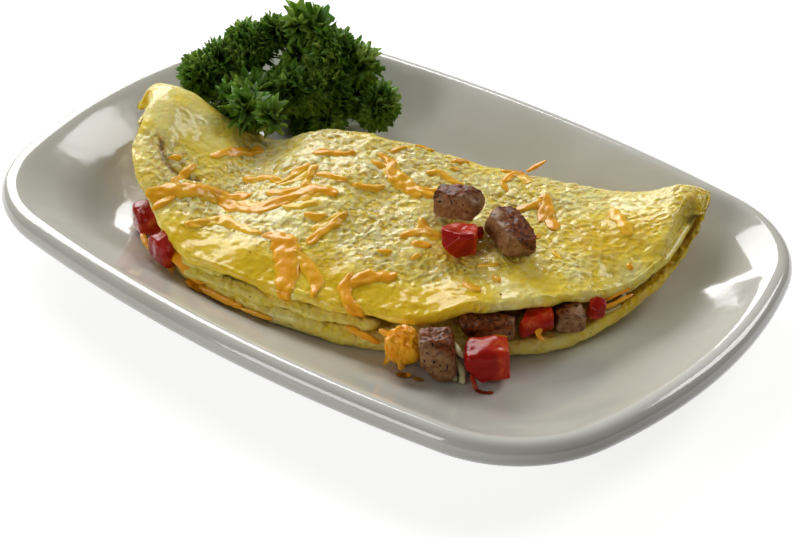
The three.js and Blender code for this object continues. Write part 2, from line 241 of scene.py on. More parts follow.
# %% Nodes and colours
def linear(hex_colour):
    """An sRGB hex colour such as 'f0e4b0' as linear RGBA."""
    channels = [int(hex_colour[i : i + 2], 16) / 255 for i in (0, 2, 4)]
    return [c / 12.92 if c <= 0.04045 else ((c + 0.055) / 1.055) ** 2.4 for c in channels] + [1.0]


def add_node(tree, kind, inputs=(), **settings):
    """Adds a node. An input is a value, a hex colour, a socket, or a node whose first output to link."""
    node = tree.nodes.new(kind)
    for key, value in settings.items():
        setattr(node, key, value)
    for key, value in dict(inputs).items():
        named = [socket for socket in node.inputs if socket.name == key and socket.enabled]
        socket = named[0] if named else node.inputs[key]
        if isinstance(value, bpy.types.Node):
            value = [output for output in value.outputs if output.enabled][0]
        if isinstance(value, bpy.types.NodeSocket):
            tree.links.new(value, socket)
        elif socket.type == "RGBA" and isinstance(value, str):
            socket.default_value = linear(value)
        else:
            socket.default_value = value
    return node


def new_material(name, **surface):
    """A material with one Principled surface; `surface` sets its sockets' constants."""
    material = bpy.data.materials.new(name)
    material.use_nodes = True
    tree = material.node_tree
    shader = tree.nodes["Principled BSDF"]
    for key, value in surface.items():
        shader.inputs[key.replace("_", " ")].default_value = value
    return material, tree, shader


print("materials ready")

# %% [markdown]
# ## The plate
# A thick serving plate pressed from porcelain: a rounded rectangle whose sides bulge a little, with a
# rolled lip, a shallow wall, a flat well and a foot ring. It could be a box with bevels, but the wall
# is one flowing curve, so the section is swept round the outline instead. The outline is four long
# arcs joined by four corner arcs, and an offset of it is the same arcs with other radii.

# %% Plate outline and section
PLATE_HALF = (135.6, 93.0)
SIDE_RADII = (599.0, 189.0)
CORNER_RADIUS = 46.0
WELL_HEIGHT, UNDER_HEIGHT = 6.0, 1.8
# each point of the section: distance out from the crest of the lip, height
PLATE_INSIDE = [
    (-44, 6), (-38, 6.5), (-32, 7.8), (-26, 10), (-20, 13), (-14, 16.5), (-8, 20.2), (-3.5, 22.9),
    (-1, 23.9),
]
PLATE_OUTSIDE = [
    (1.2, 23.7), (3, 22.2), (3.8, 19.8), (3.2, 17.2), (0.8, 14.6), (-6, 11), (-16, 6.6), (-27, 3.2),
    (-34, 1.6),
]
PLATE_FOOT = [
    (-34.4, 0.9), (-34.7, 0.25), (-35.3, 0.0), (-38.8, 0.0), (-39.4, 0.3), (-40.5, 1.6), (-41.2, 1.8),
]
LONG_CENTRE_Y = PLATE_HALF[1] - SIDE_RADII[0]
SHORT_CENTRE_X = PLATE_HALF[0] - SIDE_RADII[1]


def corner_centre():
    """The centre of the corner arc, which touches both side arcs from inside."""
    r1, r2 = SIDE_RADII[0] - CORNER_RADIUS, SIDE_RADII[1] - CORNER_RADIUS
    apart = math.hypot(SHORT_CENTRE_X, LONG_CENTRE_Y)
    along = (r1**2 - r2**2 + apart**2) / (2 * apart)
    across = math.sqrt(r1**2 - along**2)
    ex, ey = SHORT_CENTRE_X / apart, -LONG_CENTRE_Y / apart
    both = [(along * ex - s * across * ey, LONG_CENTRE_Y + along * ey + s * across * ex) for s in (1, -1)]
    return max(both, key=sum)


CORNER = corner_centre()
LONG_START = math.atan2(CORNER[1] - LONG_CENTRE_Y, CORNER[0])
SHORT_END = math.atan2(CORNER[1], CORNER[0] - SHORT_CENTRE_X)


def outline(directions, offset):
    """Points of the outline moved out by offset, by the direction each one faces."""
    c, s = np.cos(directions), np.sin(directions)
    turn = np.arctan2(np.abs(s), np.abs(c))
    is_long, is_short = turn > LONG_START, turn < SHORT_END
    cx = np.where(is_long, 0, np.where(is_short, SHORT_CENTRE_X, CORNER[0]))
    cy = np.where(is_long, LONG_CENTRE_Y, np.where(is_short, 0, CORNER[1]))
    radius = np.where(is_long, SIDE_RADII[0], np.where(is_short, SIDE_RADII[1], CORNER_RADIUS)) + offset
    return np.sign(c) * cx + radius * c, np.sign(s) * cy + radius * s


def inset(x, y):
    """How far points lie inside the crest of the lip."""
    px, py = np.abs(x), np.abs(y)
    from_long = SIDE_RADII[0] - np.hypot(px, py - LONG_CENTRE_Y)
    from_short = SIDE_RADII[1] - np.hypot(px - SHORT_CENTRE_X, py)
    near_long = np.arctan2(py - LONG_CENTRE_Y, px) >= LONG_START
    near_short = np.arctan2(py, px - SHORT_CENTRE_X) <= SHORT_END
    corner = CORNER_RADIUS - np.hypot(px - CORNER[0], py - CORNER[1])
    nearer = np.where(near_long, from_long, from_short)
    side = np.where(near_long & near_short, np.minimum(from_long, from_short), nearer)
    return np.where(near_long | near_short, side, corner)


def plate_top(x, y):
    """Height of the plate's upper side, straight between the section's points as in the CAD."""
    d, z = np.array(PLATE_INSIDE).T
    return np.interp(-inset(x, y), d, z)


print("plate corner centre", [round(v, 1) for v in CORNER])

# %% [markdown]
# The plate could be spun on a wheel if it were round. This one was pressed in a mould, so one section
# is carried round the outline: a ring of points for each point of the section, closed over the well
# and under the foot. The bends of the lip are eased by a smooth curve through the section's points.

# %% Plate mesh
SECTION_SPACING = 1.6


def rounded_section(points, spacing):
    """A smooth line through the section's points, with a point every `spacing` millimetres."""
    p = np.array(points, float)
    along = np.concatenate([[0], np.cumsum(np.hypot(*np.diff(p, axis=0).T))])
    count = int(along[-1] / spacing)
    t = np.linspace(0, along[-1], count)
    return np.stack([smooth_curve(np.stack([along, p[:, i]], 1))(t) for i in (0, 1)], 1)


def around():
    """Directions once round the plate, closer together on the corners than on the long sides."""
    short, corner = np.linspace(0, SHORT_END, 20), np.linspace(SHORT_END, LONG_START, 42)
    quarter = np.concatenate([short[:-1], corner[:-1], np.linspace(LONG_START, math.pi / 2, 34)])
    half = np.concatenate([quarter, math.pi - quarter[-2::-1]])
    return np.concatenate([half[:-1], half[:-1] + math.pi])


def plate():
    """The whole plate: the section's rings, with the well and the underside closed to a point."""
    directions = around()
    shell = rounded_section(PLATE_INSIDE + PLATE_OUTSIDE, SECTION_SPACING)
    section = np.concatenate([shell, np.array(PLATE_FOOT)])
    rings = [np.stack([*outline(directions, d), np.full(len(directions), z)], 1) for d, z in section]
    top_middle, under_middle = np.array([0, 0, WELL_HEIGHT]), np.array([0, 0, UNDER_HEIGHT])
    inner = [(1 - k) * rings[0] + k * top_middle for k in (0.75, 0.5, 0.25)]
    under = [(1 - k) * rings[-1] + k * under_middle for k in (0.3, 0.6)]
    rings = inner + rings + under
    columns = len(directions)
    points = np.concatenate(rings + [np.stack([top_middle, under_middle])])
    faces = grid_faces(len(rings), columns)
    top, bottom, last = len(points) - 2, len(points) - 1, (len(rings) - 1) * columns
    for i in range(columns):
        j = (i + 1) % columns
        faces.append((top, j, i))
        faces.append((bottom, last + i, last + j))
    return tidy(mesh_piece("plate_glazed", points, faces))


plate_piece = plate()
print("plate points", len(plate_piece.data.vertices))

# %% [markdown]
# Glazed porcelain is a white body under a clear glass-like glaze. The glaze gives sharp, weak
# reflections and the body a soft even white, so the surface is nearly white with a low roughness.
# Very slow unevenness in the glaze keeps the reflections from looking like a mirror's, and a trace of
# grey keeps the white from being flat.

# %% Glazed porcelain
glaze, tree, shader = new_material(
    "glazed_porcelain", Roughness=0.1, IOR=1.5, Coat_Weight=0.35, Coat_Roughness=0.04)
place = add_node(tree, "ShaderNodeTexCoord").outputs["Object"]
cloud = add_node(tree, "ShaderNodeTexNoise", {"Vector": place, "Scale": 1 / (40 * MM), "Detail": 2.0})
share = add_node(tree, "ShaderNodeMapRange", {0: cloud, 1: 0.35, 2: 0.65})
body = add_node(tree, "ShaderNodeMix", {0: share, 6: "d2d1c6", 7: "d9d8d0"}, data_type="RGBA")
ripple = add_node(tree, "ShaderNodeTexNoise", {"Vector": place, "Scale": 1 / (9 * MM), "Detail": 1.0})
bump = add_node(tree, "ShaderNodeBump", {"Strength": 0.05, "Distance": 0.002, "Height": ripple})
tree.links.new(body.outputs[2], shader.inputs["Base Color"])
tree.links.new(bump.outputs[0], shader.inputs["Normal"])
finish_piece(plate_piece, glaze, "porcelain", "plate")

# %% [markdown]
# ## The folded egg
# The egg is one thin round pancake folded over. In its own frame u runs along the fold and v out to
# the round edge. A slice across the fold is a letter C: a lower layer on the plate, a round back and
# a flap on top. Cloth simulation could fold a disc, but the shape is known, so each slice is written
# down as a rule and the slices are joined into one grid. The grid is fine enough to carry the pits.

# %% The fold's frame and heights
FOLD_MIDDLE = (-11.5, 31.0)
FOLD_ANGLE = math.radians(21.1)
HALF_SPAN = 107.5
EGG_THICKNESS, LOWER_THICKNESS = 4.2, 6.2
TIP_THICKNESS, TAPER_START = 2.4, 84.0
BACK_DEPTH, BACK_START = 12.0, 4.0
TIP_REACH, TIP_LIFT, TIP_START, FLAP_END = 9.0, 13.0, 76.0, 98.0
REST_GAP = 0.35
# (u, height) stations of the fold's ridge and of the flap's front edge
RIDGE = [
    (-107.5, 34), (-103, 38.8), (-97, 39.8), (-90, 38), (-82, 33.2), (-68, 27.5), (-58, 22.6),
    (-44, 29), (-32, 32.7), (-18, 34), (-5, 31.8), (14, 30.2), (33, 28.3), (44, 27.2), (70, 27.6),
    (84, 29.6), (93, 32.2), (101, 34), (107.5, 31),
]
LIP = [
    (-107.5, 32), (-98, 32), (-90, 30), (-84, 28), (-78, 24.5), (-70, 22.5), (-52, 21), (-20, 20),
    (20, 20.5), (31, 21), (38, 23.6), (47, 26.2), (70, 25.8), (82, 22.8), (89, 21.5), (98, 25),
    (107.5, 29.5),
]
ridge_height, lip_height = smooth_curve(RIDGE), smooth_curve(LIP)


def to_plate(u, v):
    """Plate x and y of a point in the fold's frame."""
    c, s = math.cos(FOLD_ANGLE), math.sin(FOLD_ANGLE)
    return FOLD_MIDDLE[0] + u * c + v * s, FOLD_MIDDLE[1] + u * s - v * c


def round_edge(u):
    """How far the pancake's round edge reaches at u, as a share of its reach in the middle."""
    return np.sqrt(np.maximum(0, 1 - (u / HALF_SPAN) ** 2))


def lower_reach(u):
    """How far the lower layer comes forward."""
    reach = 95 * round_edge(u) + 4 * bell(u, 72, 22) - 16 * bell(u, -86, 13)
    return np.maximum(TIP_REACH, reach)


def upper_reach(u):
    """The flap stops short of both tips, so the lower layer shows beyond it."""
    uneven = 4 * bell(u, -62, 16) + 3 * bell(u, 24, 12) + 1.5 * bell(u, 58, 14)
    reach = np.maximum(TIP_REACH, 90 * round_edge(u) + uneven)
    pulled = step(np.abs(u), FLAP_END, FLAP_END + 6)
    return reach + (TIP_REACH - reach) * pulled


def underside(u, v):
    """Height of the egg's underside, which follows the plate and lifts towards the tips."""
    beyond = np.maximum(0, np.abs(u) - TIP_START) / (HALF_SPAN - TIP_START)
    return plate_top(*to_plate(u, v)) + REST_GAP + TIP_LIFT * beyond**1.5


def flap_top(u, v):
    """Height of the flap: highest at the ridge, falling in a curve to its front edge."""
    share = np.clip((v - BACK_START) / (upper_reach(u) - BACK_START), 0, 1)
    lump = 0.7 * np.sin(u / 7.5 + 1) * np.sin(v / 9) * (1 - share)
    return lip_height(u) + (ridge_height(u) - lip_height(u)) * (1 - share**1.8) + lump


print("flap height in the middle", round(float(flap_top(0.0, 40.0)), 1), "mm")

# %% [markdown]
# The flap's skin was the side that cooked on the pan: it is covered with small burst bubbles and
# wrinkles a few millimetres across, and it is smooth and yellow where it was thick, near the front
# edge and in a few hollows. One rule of u and of the distance w along the slice gives this relief, so
# a place on the skin is always named by u and w, and the cheese shreds are later placed the same way.

# %% Relief and colour of the egg's skin
# (u, w, spread in u, spread in w, strength)
YELLOW_PATCHES = [
    (-33, 82, 13, 8, 1.0), (-62, 70, 11, 8, 0.7), (8, 85, 18, 8, 1.0), (30, 83, 12, 8, 1.0),
    (-6, 75, 15, 8, 0.7), (80, 27, 8, 13, 1.0), (92, 22, 6, 13, 0.7), (72, 38, 8, 8, 0.6),
    (40, 75, 11, 7, 0.6), (60, 62, 14, 7, 0.4), (-45, 72, 11, 8, 0.6), (-25, 46, 8, 6, 0.4),
    (-92, 44, 8, 8, 0.3), (20, 62, 9, 7, 0.3), (62, 30, 8, 8, 0.3),
]
PALE_PATCHES = [
    (-86, 16, 22, 17, 0.6), (64, 10, 11, 6, 0.8), (-35, 24, 12, 6, 0.8), (-40, 56, 10, 5, 0.5),
    (50, 70, 10, 5, 0.5), (12, 44, 10, 6, 0.5), (84, 10, 10, 5, 0.6), (30, 66, 8, 4, 0.5),
]
# (u, w) corners of the short crease near the left end
CREASE = [(-88, 31), (-84, 38), (-76, 42), (-70, 40)]


def patches(u, w, table):
    """How much of the table's soft round patches covers a point."""
    total = sum(k * np.exp(-(((u - a) / ra) ** 2) - ((w - b) / rb) ** 2) for a, b, ra, rb, k in table)
    return np.clip(total, 0, 1)


def crease_distance(u, w):
    """Distance to the short fold where the dome tucks under the tall left end."""
    best = np.full(np.broadcast(u, w).shape, 1e3)
    for (a0, b0), (a1, b1) in zip(CREASE, CREASE[1:]):
        t = np.clip(((u - a0) * (a1 - a0) + (w - b0) * (b1 - b0)) / ((a1 - a0) ** 2 + (b1 - b0) ** 2), 0, 1)
        best = np.minimum(best, np.hypot(u - a0 - t * (a1 - a0), w - b0 - t * (b1 - b0)))
    return best


def skin(u, w):
    """(height in mm, how yellow, how deep in a pit, how crinkled) of the egg's skin."""
    smooth_end = step(-u, 62, 70) * step(-w, -34, -24)
    edge = step(w - upper_reach(u), -20, -7)
    yellow = patches(u, w, YELLOW_PATCHES)
    calm = np.clip(smooth_end + 0.75 * yellow + 0.55 * edge, 0, 1)
    uneven = 0.55 + 0.45 * step(bumps((u, w), 17, 3), -0.5, 0.3)
    rough = (1 - calm) * uneven * (1 - 0.35 * step(u, 0, 30)) + 0.06
    warp_u = u + 1.3 * bumps((u, w), 4.3, 8)
    warp_w = w + 1.3 * bumps((u, w), 4.3, 9)
    wrinkle = 1 - np.abs(bumps((warp_u, warp_w * 1.25), 2.6, 11)) * 2.2
    fine = bumps((warp_u, warp_w), 1.25, 12)
    near, kind = bubbles((warp_u, warp_w), 3.6, 21)
    pit = step(-near, -1.0, -0.35) * step(kind, 0.35, 0.5)
    small_near, small_kind = bubbles((u, w), 2.1, 25)
    small_pit = step(-small_near, -0.95, -0.3) * step(small_kind, 0.5, 0.6)
    crease = bell(crease_distance(u, w), 0, 1.3)
    height = 0.75 * bumps((u, w), 12, 1) + 0.3 * bumps((u, w), 6, 2) - 1.5 * crease
    height += rough * (0.2 * wrinkle + 0.13 * fine - 0.5 * pit - 0.32 * small_pit)
    ripple = (0.2 - 0.17 * smooth_end) * bumps((u, w), 2.6, 5)
    height += (1 - rough) * (ripple + 0.06 * fine - 0.35 * pit * step(kind, 0.8, 0.9))
    tone = 0.34 + 0.3 * bumps((u, w), 9, 6) + 0.75 * yellow - 0.5 * patches(u, w, PALE_PATCHES)
    tone = np.clip(tone, 0, 1)
    depth = np.clip(rough * (0.75 * pit + 0.5 * small_pit + 0.4 * (1 - wrinkle)) + 0.6 * crease, 0, 1)
    return height, tone, depth, rough


print("skin relief at the middle", round(float(skin(np.array([0.0]), np.array([40.0]))[0][0]), 2), "mm")

# %% [markdown]
# A slice runs once round the C: from the inside of the back along the lower layer, round its front
# lip and back underneath, up round the back, over the flap, round the flap's lip and back inside.
# Solidify could give a bent sheet its thickness, but the two layers differ in thickness and thin out
# at the tips, so each part of the slice is worked out with its own thickness.

# %% Slices of the folded egg
COLUMNS = 300


def egg_slices(u):
    """v and z of each point of the slices, running once round the letter C, and where each part starts."""
    lower, upper = lower_reach(u), upper_reach(u)
    tip = step(np.abs(u), TAPER_START, HALF_SPAN)
    lower_thick = LOWER_THICKNESS + (TIP_THICKNESS - LOWER_THICKNESS) * tip
    upper_thick = EGG_THICKNESS + (TIP_THICKNESS - EGG_THICKNESS) * tip
    rl, ru = lower_thick / 2, upper_thick / 2
    parts = {}

    def run(start, end, count, height):
        """A stretch of the slice between two values of v, at the height that a rule gives."""
        t = np.linspace(0, 1, count, endpoint=False)[:, None]
        v = start + (end - start) * t
        return v, height(np.broadcast_to(u, v.shape), v)

    def turn(centre_v, centre_z, rv, rz, start, end, count):
        """A bend of the slice round a centre, from one angle to another."""
        a = np.radians(np.linspace(start, end, count, endpoint=False))[:, None]
        return centre_v + rv * np.cos(a), centre_z + rz * np.sin(a)

    back_low, back_high = underside(u, BACK_START), flap_top(u, BACK_START)
    in_low, in_high = back_low + lower_thick, back_high - upper_thick
    inner = ((in_low + in_high) / 2, BACK_DEPTH - upper_thick, (in_high - in_low) / 2)
    parts["inner back, low"] = turn(BACK_START, inner[0], -inner[1], -inner[2], 0, 90, 6)
    parts["lower top"] = run(BACK_START, lower - rl, 46, lambda a, v: underside(a, v) + lower_thick)
    parts["lower lip"] = turn(lower - rl, underside(u, lower - rl) + rl, rl, rl, 90, -90, 14)
    parts["underside"] = run(lower - rl, BACK_START, 22, underside)
    middle, half = (back_low + back_high) / 2, (back_high - back_low) / 2
    parts["back"] = turn(BACK_START, middle, -BACK_DEPTH, half, -90, 90, 42)
    parts["flap top"] = run(BACK_START, upper - ru, 140, flap_top)
    parts["flap lip"] = turn(upper - ru, flap_top(u, upper - ru) - ru, ru, ru, 90, -90, 14)
    parts["flap under"] = run(upper - ru, BACK_START, 26, lambda a, v: flap_top(a, v) - upper_thick)
    parts["inner back, high"] = turn(BACK_START, inner[0], -inner[1], inner[2], 90, 0, 6)
    v = np.concatenate([np.broadcast_to(p[0], (len(p[0]), len(u))) for p in parts.values()])
    z = np.concatenate([np.broadcast_to(p[1], (len(p[1]), len(u))) for p in parts.values()])
    starts, at = {}, 0
    for name, p in parts.items():
        starts[name] = (at, at + len(p[0]))
        at += len(p[0])
    return v, z, starts


def along(count, reach):
    """Stations along the fold, closer together towards the tips."""
    t = np.linspace(-1, 1, count)
    return reach * (0.72 * t + 0.28 * np.sin(t * math.pi / 2))


def outward_normals(points):
    """Normals of a grid of points [slice, along the slice, xyz] whose slices are closed loops."""
    down = np.gradient(points, axis=0)
    across = np.roll(points, -1, axis=1) - np.roll(points, 1, axis=1)
    normal = np.cross(across, down)
    return normal / np.maximum(np.linalg.norm(normal, axis=-1, keepdims=True), 1e-9)


print("points round one slice", len(egg_slices(along(COLUMNS, HALF_SPAN))[0]))

# %% [markdown]
# The slices become one grid, and the relief moves its points along their normals, as a displacement
# would. Outside it is the pan-side skin, inside it is a soft spongy surface, and near the lips one
# fades into the other. Colours for the material are kept on the points, since they follow the
# relief: how yellow the egg is, how deep in a pit, and how much painted shade darkens the short crease.

# %% The egg's mesh
FADE_ROWS = 12
END_SLICES, END_ROUNDING = 3, 0.95
EGG = {}


def outside_share(part, rows):
    """1 on the rows of the skin that lay on the pan, 0 inside the fold, fading between."""
    outside = np.zeros(rows)
    outside[part["back"][0] : part["flap lip"][1]] = 1
    fade = np.linspace(1, 0, FADE_ROWS)
    outside[part["flap lip"][1] : part["flap lip"][1] + FADE_ROWS] = fade
    outside[part["back"][0] - FADE_ROWS : part["back"][0]] = fade[::-1]
    return outside[:, None]


def folded_egg():
    """The egg as one closed grid, with its relief and its colours."""
    u = along(COLUMNS, HALF_SPAN)
    v, z, part = egg_slices(u)
    rows = len(v)
    uu = np.broadcast_to(u, v.shape)
    x, y = to_plate(uu, v)
    points = np.stack([x, y, z], -1).transpose(1, 0, 2)
    normal = outward_normals(points)
    top_row = sum(part["flap top"]) // 2
    if normal[COLUMNS // 2, top_row, 2] < 0:
        normal = -normal
    lengths = np.hypot(np.diff(v, axis=0), np.diff(z, axis=0))
    w = np.concatenate([np.zeros((1, len(u))), np.cumsum(lengths, axis=0)])
    w = w - w[part["flap top"][0]] + BACK_START
    height, tone, depth, rough = skin(uu, w)
    outside = outside_share(part, rows)
    sponge_near, sponge_kind = bubbles((x, y, z), 3.0, 41)
    sponge = step(-sponge_near, -0.9, -0.3) * step(sponge_kind, 0.4, 0.5)
    body = 0.45 * bumps((x, y, z), 8, 42) + 0.2 * bumps((x, y, z), 2.4, 43) - 0.7 * sponge
    relief = outside * height + (1 - outside) * body
    lip = np.zeros(rows)
    lip[part["flap lip"][0] : part["flap lip"][1]] = 1
    relief += lip[:, None] * 0.5 * bumps((x, y, z), 5, 44)
    ends = np.minimum(np.arange(COLUMNS), np.arange(COLUMNS)[::-1])
    rounding = 1 - np.sqrt(1 - (1 - np.clip(ends / END_SLICES, 0, 1)) ** 2)
    relief -= END_ROUNDING * rounding[None, :]
    points = points + normal * relief.T[..., None]
    EGG.update(u=u, w=w, points=points, normal=normal)
    inside = (1 - outside) * step(np.abs(uu), 82, 96)
    tone = outside * tone + (1 - outside) * (0.36 + 0.2 * bumps((x, y, z), 7, 45))
    tone = np.clip(tone + 0.9 * inside + 0.8 * step(np.abs(uu), 99, 103), 0, 1)
    depth = outside * depth + (1 - outside) * 0.7 * sponge
    # painted shade: the skin is darkened towards brown along the short crease
    crease_shade = np.clip(0.8 * bell(crease_distance(uu, w), 0, 0.9) * outside, 0, 1)
    look = np.stack([tone, depth, crease_shade], -1).transpose(1, 0, 2).reshape(-1, 3)
    crinkle = (outside * rough + (1 - outside) * 0.28).T.ravel()
    faces = grid_faces(COLUMNS, rows)
    last = (COLUMNS - 1) * rows
    faces.append(tuple(range(rows)))
    faces.append(tuple(last + i for i in reversed(range(rows))))
    return tidy(mesh_piece("egg_folded", points.reshape(-1, 3), faces, {"look": look, "crinkle": crinkle}))


egg_piece = folded_egg()
print("egg grid", EGG["points"].shape)

# %% [markdown]
# Cooked egg is a wet, slightly translucent solid: light goes a few millimetres in and comes out
# yellower. So the surface is a pale yellow with some subsurface light, and it is more saturated
# where it is thick, in the pits and inside the fold. The wet film on it is a thin coat, which gives
# the glints while the egg under it stays dull.

# %% Cooked egg, its colour
egg_material, tree, shader = new_material(
    "cooked_egg", Roughness=0.5, IOR=1.4, Specular_IOR_Level=0.05,
    Subsurface_Weight=0.35, Subsurface_Scale=0.004, Coat_Weight=0.55, Coat_Roughness=0.1)
shader.inputs["Subsurface Radius"].default_value = (1.0, 0.55, 0.12)
place = add_node(tree, "ShaderNodeTexCoord").outputs["Object"]
look = add_node(tree, "ShaderNodeAttribute", attribute_name="look")
tone, depth, crease_shade = add_node(tree, "ShaderNodeSeparateColor", {0: look}).outputs[:3]
mottle = add_node(tree, "ShaderNodeTexNoise", {"Vector": place, "Scale": 1 / (3.2 * MM), "Detail": 4.0})
mottle = add_node(tree, "ShaderNodeMath", {0: mottle, 1: 0.55, 2: -0.27}, operation="MULTIPLY_ADD")
tone = add_node(tree, "ShaderNodeMath", {0: mottle, 1: tone}, operation="ADD")
share = add_node(tree, "ShaderNodeMapRange", {0: tone, 1: 0.05, 2: 0.55}, interpolation_type="SMOOTHSTEP")
pale = add_node(tree, "ShaderNodeMix", {0: share, 6: "fae88c", 7: "f6d638"}, data_type="RGBA")
share = add_node(tree, "ShaderNodeMapRange", {0: tone, 1: 0.5, 2: 1.05}, interpolation_type="SMOOTHSTEP")
colour = add_node(tree, "ShaderNodeMix", {0: share, 6: pale, 7: "e4bc02"}, data_type="RGBA")
share = add_node(tree, "ShaderNodeMapRange", {0: depth, 1: 0.1, 2: 1.1}, interpolation_type="SMOOTHSTEP")
colour = add_node(tree, "ShaderNodeMix", {0: share, 6: colour, 7: "e6c218"}, data_type="RGBA")
# painted shade in the short crease: the colour is mixed towards dark brown there
colour = add_node(tree, "ShaderNodeMix", {0: crease_shade, 6: colour, 7: "9a5a14"}, data_type="RGBA")
print("egg colour has", len(tree.nodes), "nodes")

# %% [markdown]
# Where the skin is crinkled it is covered with blisters two or three millimetres across, paler on
# their crowns. Modelling each would take millions of faces, so they are cells of a Voronoi pattern
# on swirled coordinates: the cells whiten the colour and, with a finer grain, feed the bump. A few
# brown freckles are the highest peaks of one more noise.

# %% Cooked egg, its blisters
crinkle = add_node(tree, "ShaderNodeAttribute", attribute_name="crinkle")
swirl = add_node(tree, "ShaderNodeTexNoise", {"Vector": place, "Scale": 1 / (5 * MM), "Detail": 2.0})
swirl = add_node(tree, "ShaderNodeVectorMath", {0: swirl.outputs["Color"], "Scale": 0.003}, operation="SCALE")
swirl = add_node(tree, "ShaderNodeVectorMath", {0: place, 1: swirl}, operation="ADD")
blister = add_node(
    tree, "ShaderNodeTexVoronoi", {"Vector": swirl, "Scale": 1 / (2.3 * MM), "Smoothness": 0.5},
    feature="SMOOTH_F1")
raised = add_node(tree, "ShaderNodeMapRange", {0: blister, 1: 0.15, 2: 0.75}, interpolation_type="SMOOTHSTEP")
white = add_node(tree, "ShaderNodeMath", {0: raised, 1: crinkle.outputs["Fac"]}, operation="MULTIPLY")
white = add_node(tree, "ShaderNodeMath", {0: white, 1: 0.55}, operation="MULTIPLY")
colour = add_node(tree, "ShaderNodeMix", {0: white, 6: colour, 7: "fff6cc"}, data_type="RGBA")
freckle = add_node(tree, "ShaderNodeTexNoise", {"Vector": place, "Scale": 1 / (2.3 * MM), "Detail": 1.0})
share = add_node(tree, "ShaderNodeMapRange", {0: freckle, 1: 0.765, 2: 0.80})
colour = add_node(tree, "ShaderNodeMix", {0: share, 6: colour, 7: "8a5a22"}, data_type="RGBA")
fine = add_node(tree, "ShaderNodeTexNoise", {"Vector": place, "Scale": 1 / (1.2 * MM), "Detail": 3.0})
share = add_node(tree, "ShaderNodeMapRange", {0: crinkle.outputs["Fac"], 3: 0.12, 4: 1.2})
fine = add_node(tree, "ShaderNodeMath", {0: raised, 1: fine}, operation="ADD")
fine = add_node(tree, "ShaderNodeMath", {0: fine, 1: share}, operation="MULTIPLY")
bump = add_node(tree, "ShaderNodeBump", {"Strength": 1.0, "Distance": 0.0009, "Height": fine})
tree.links.new(colour.outputs[2], shader.inputs["Base Color"])
tree.links.new(bump.outputs[0], shader.inputs["Normal"])
finish_piece(egg_piece, egg_material, "cooked_egg", "egg")

# %% [markdown]
# ## The filling
# Inside the fold is a warm mass of melted cheese, sausage and tomato. It is hidden but for its edge,
# which shows dark and wet behind the pieces in the openings. It is the CAD filling again with a finer
# grid and a lumpy front.

# %% Filling
FILLING_HALF, FILLING_GAP = 90.0, 0.8
# the filling stands this far behind the egg's edge, and further behind it where the fold gapes
FRONT_SET_BACK, OPENING_SET_BACK = 6, 5
OPENING_START = 18
PUSHED_DEPTH = 14


def filling():
    """The filling as slices that run round it, with a front that bulges unevenly."""
    u = np.linspace(-FILLING_HALF, FILLING_HALF, 150)
    opening = 1 / (1 + np.exp(-(u - OPENING_START) / 4))
    front = np.minimum(upper_reach(u), lower_reach(u)) - (FRONT_SET_BACK + OPENING_SET_BACK * opening)
    tip = step(np.abs(u), TAPER_START, HALF_SPAN)

    def low(v):
        return underside(u, v) + LOWER_THICKNESS + FILLING_GAP - 0.5 * tip

    def high(v):
        return np.maximum(flap_top(u, v) - EGG_THICKNESS - FILLING_GAP, low(v) + 0.8)

    def middle(v):
        return (low(v) + high(v)) / 2

    back = BACK_START - (BACK_DEPTH - EGG_THICKNESS) * 0.6
    t = np.linspace(0, 1, 26)[:, None]
    spread = BACK_START + 2 + (front - 3.5 - BACK_START) * t
    v = np.concatenate([front[None], spread[::-1], np.full((1, len(u)), back), spread])
    z = np.concatenate([middle(front)[None], low(spread[::-1]), middle(BACK_START)[None], high(spread)])
    uu = np.broadcast_to(u, v.shape)
    x, y = to_plate(uu, v)
    push = np.clip((v - front + PUSHED_DEPTH) / PUSHED_DEPTH, 0, 1)
    lumps = push * (2.0 * bumps((x, y, z), 7, 51) + 1.0 * bumps((x, y, z), 3, 52))
    x, y = to_plate(uu, v + lumps)
    points = np.stack([x, y, z], -1).transpose(1, 0, 2)
    rows, columns = len(u), len(v)
    faces = grid_faces(rows, columns)
    faces.append(tuple(range(columns)))
    faces.append(tuple((rows - 1) * columns + i for i in reversed(range(columns))))
    return tidy(mesh_piece("filling_mass", points.reshape(-1, 3), faces))


filling_piece = filling()

# %% [markdown]
# What shows of the mass is melted orange cheese with brown meat, red tomato juice and a few pale
# flecks of cheese. Two noises of different size choose between the four colours, so that they run
# into each other as they do in a pan.

# %% The filling's colours
filling_material, tree, shader = new_material(
    "cheese_and_meat_filling", Roughness=0.3, IOR=1.42, Coat_Weight=0.4,
    Subsurface_Weight=0.15, Subsurface_Scale=0.003)
place = add_node(tree, "ShaderNodeTexCoord").outputs["Object"]
big = add_node(tree, "ShaderNodeTexNoise", {"Vector": place, "Scale": 1 / (9 * MM), "Detail": 2.0})
small = add_node(tree, "ShaderNodeTexNoise", {"Vector": place, "Scale": 1 / (3.5 * MM), "Detail": 3.0})
share = add_node(tree, "ShaderNodeMapRange", {0: big, 1: 0.42, 2: 0.55})
colour = add_node(tree, "ShaderNodeMix", {0: share, 6: "c9791a", 7: "6a3a20"}, data_type="RGBA")
share = add_node(tree, "ShaderNodeMapRange", {0: small, 1: 0.55, 2: 0.66})
colour = add_node(tree, "ShaderNodeMix", {0: share, 6: colour, 7: "7a1a10"}, data_type="RGBA")
share = add_node(tree, "ShaderNodeMapRange", {0: small, 1: 0.30, 2: 0.22})
colour = add_node(tree, "ShaderNodeMix", {0: share, 6: colour, 7: "e0c06a"}, data_type="RGBA")
bump = add_node(tree, "ShaderNodeBump", {"Strength": 0.6, "Distance": 0.001, "Height": small})
tree.links.new(colour.outputs[2], shader.inputs["Base Color"])
tree.links.new(bump.outputs[0], shader.inputs["Normal"])
finish_piece(filling_piece, filling_material, "filling_mix", "filling")

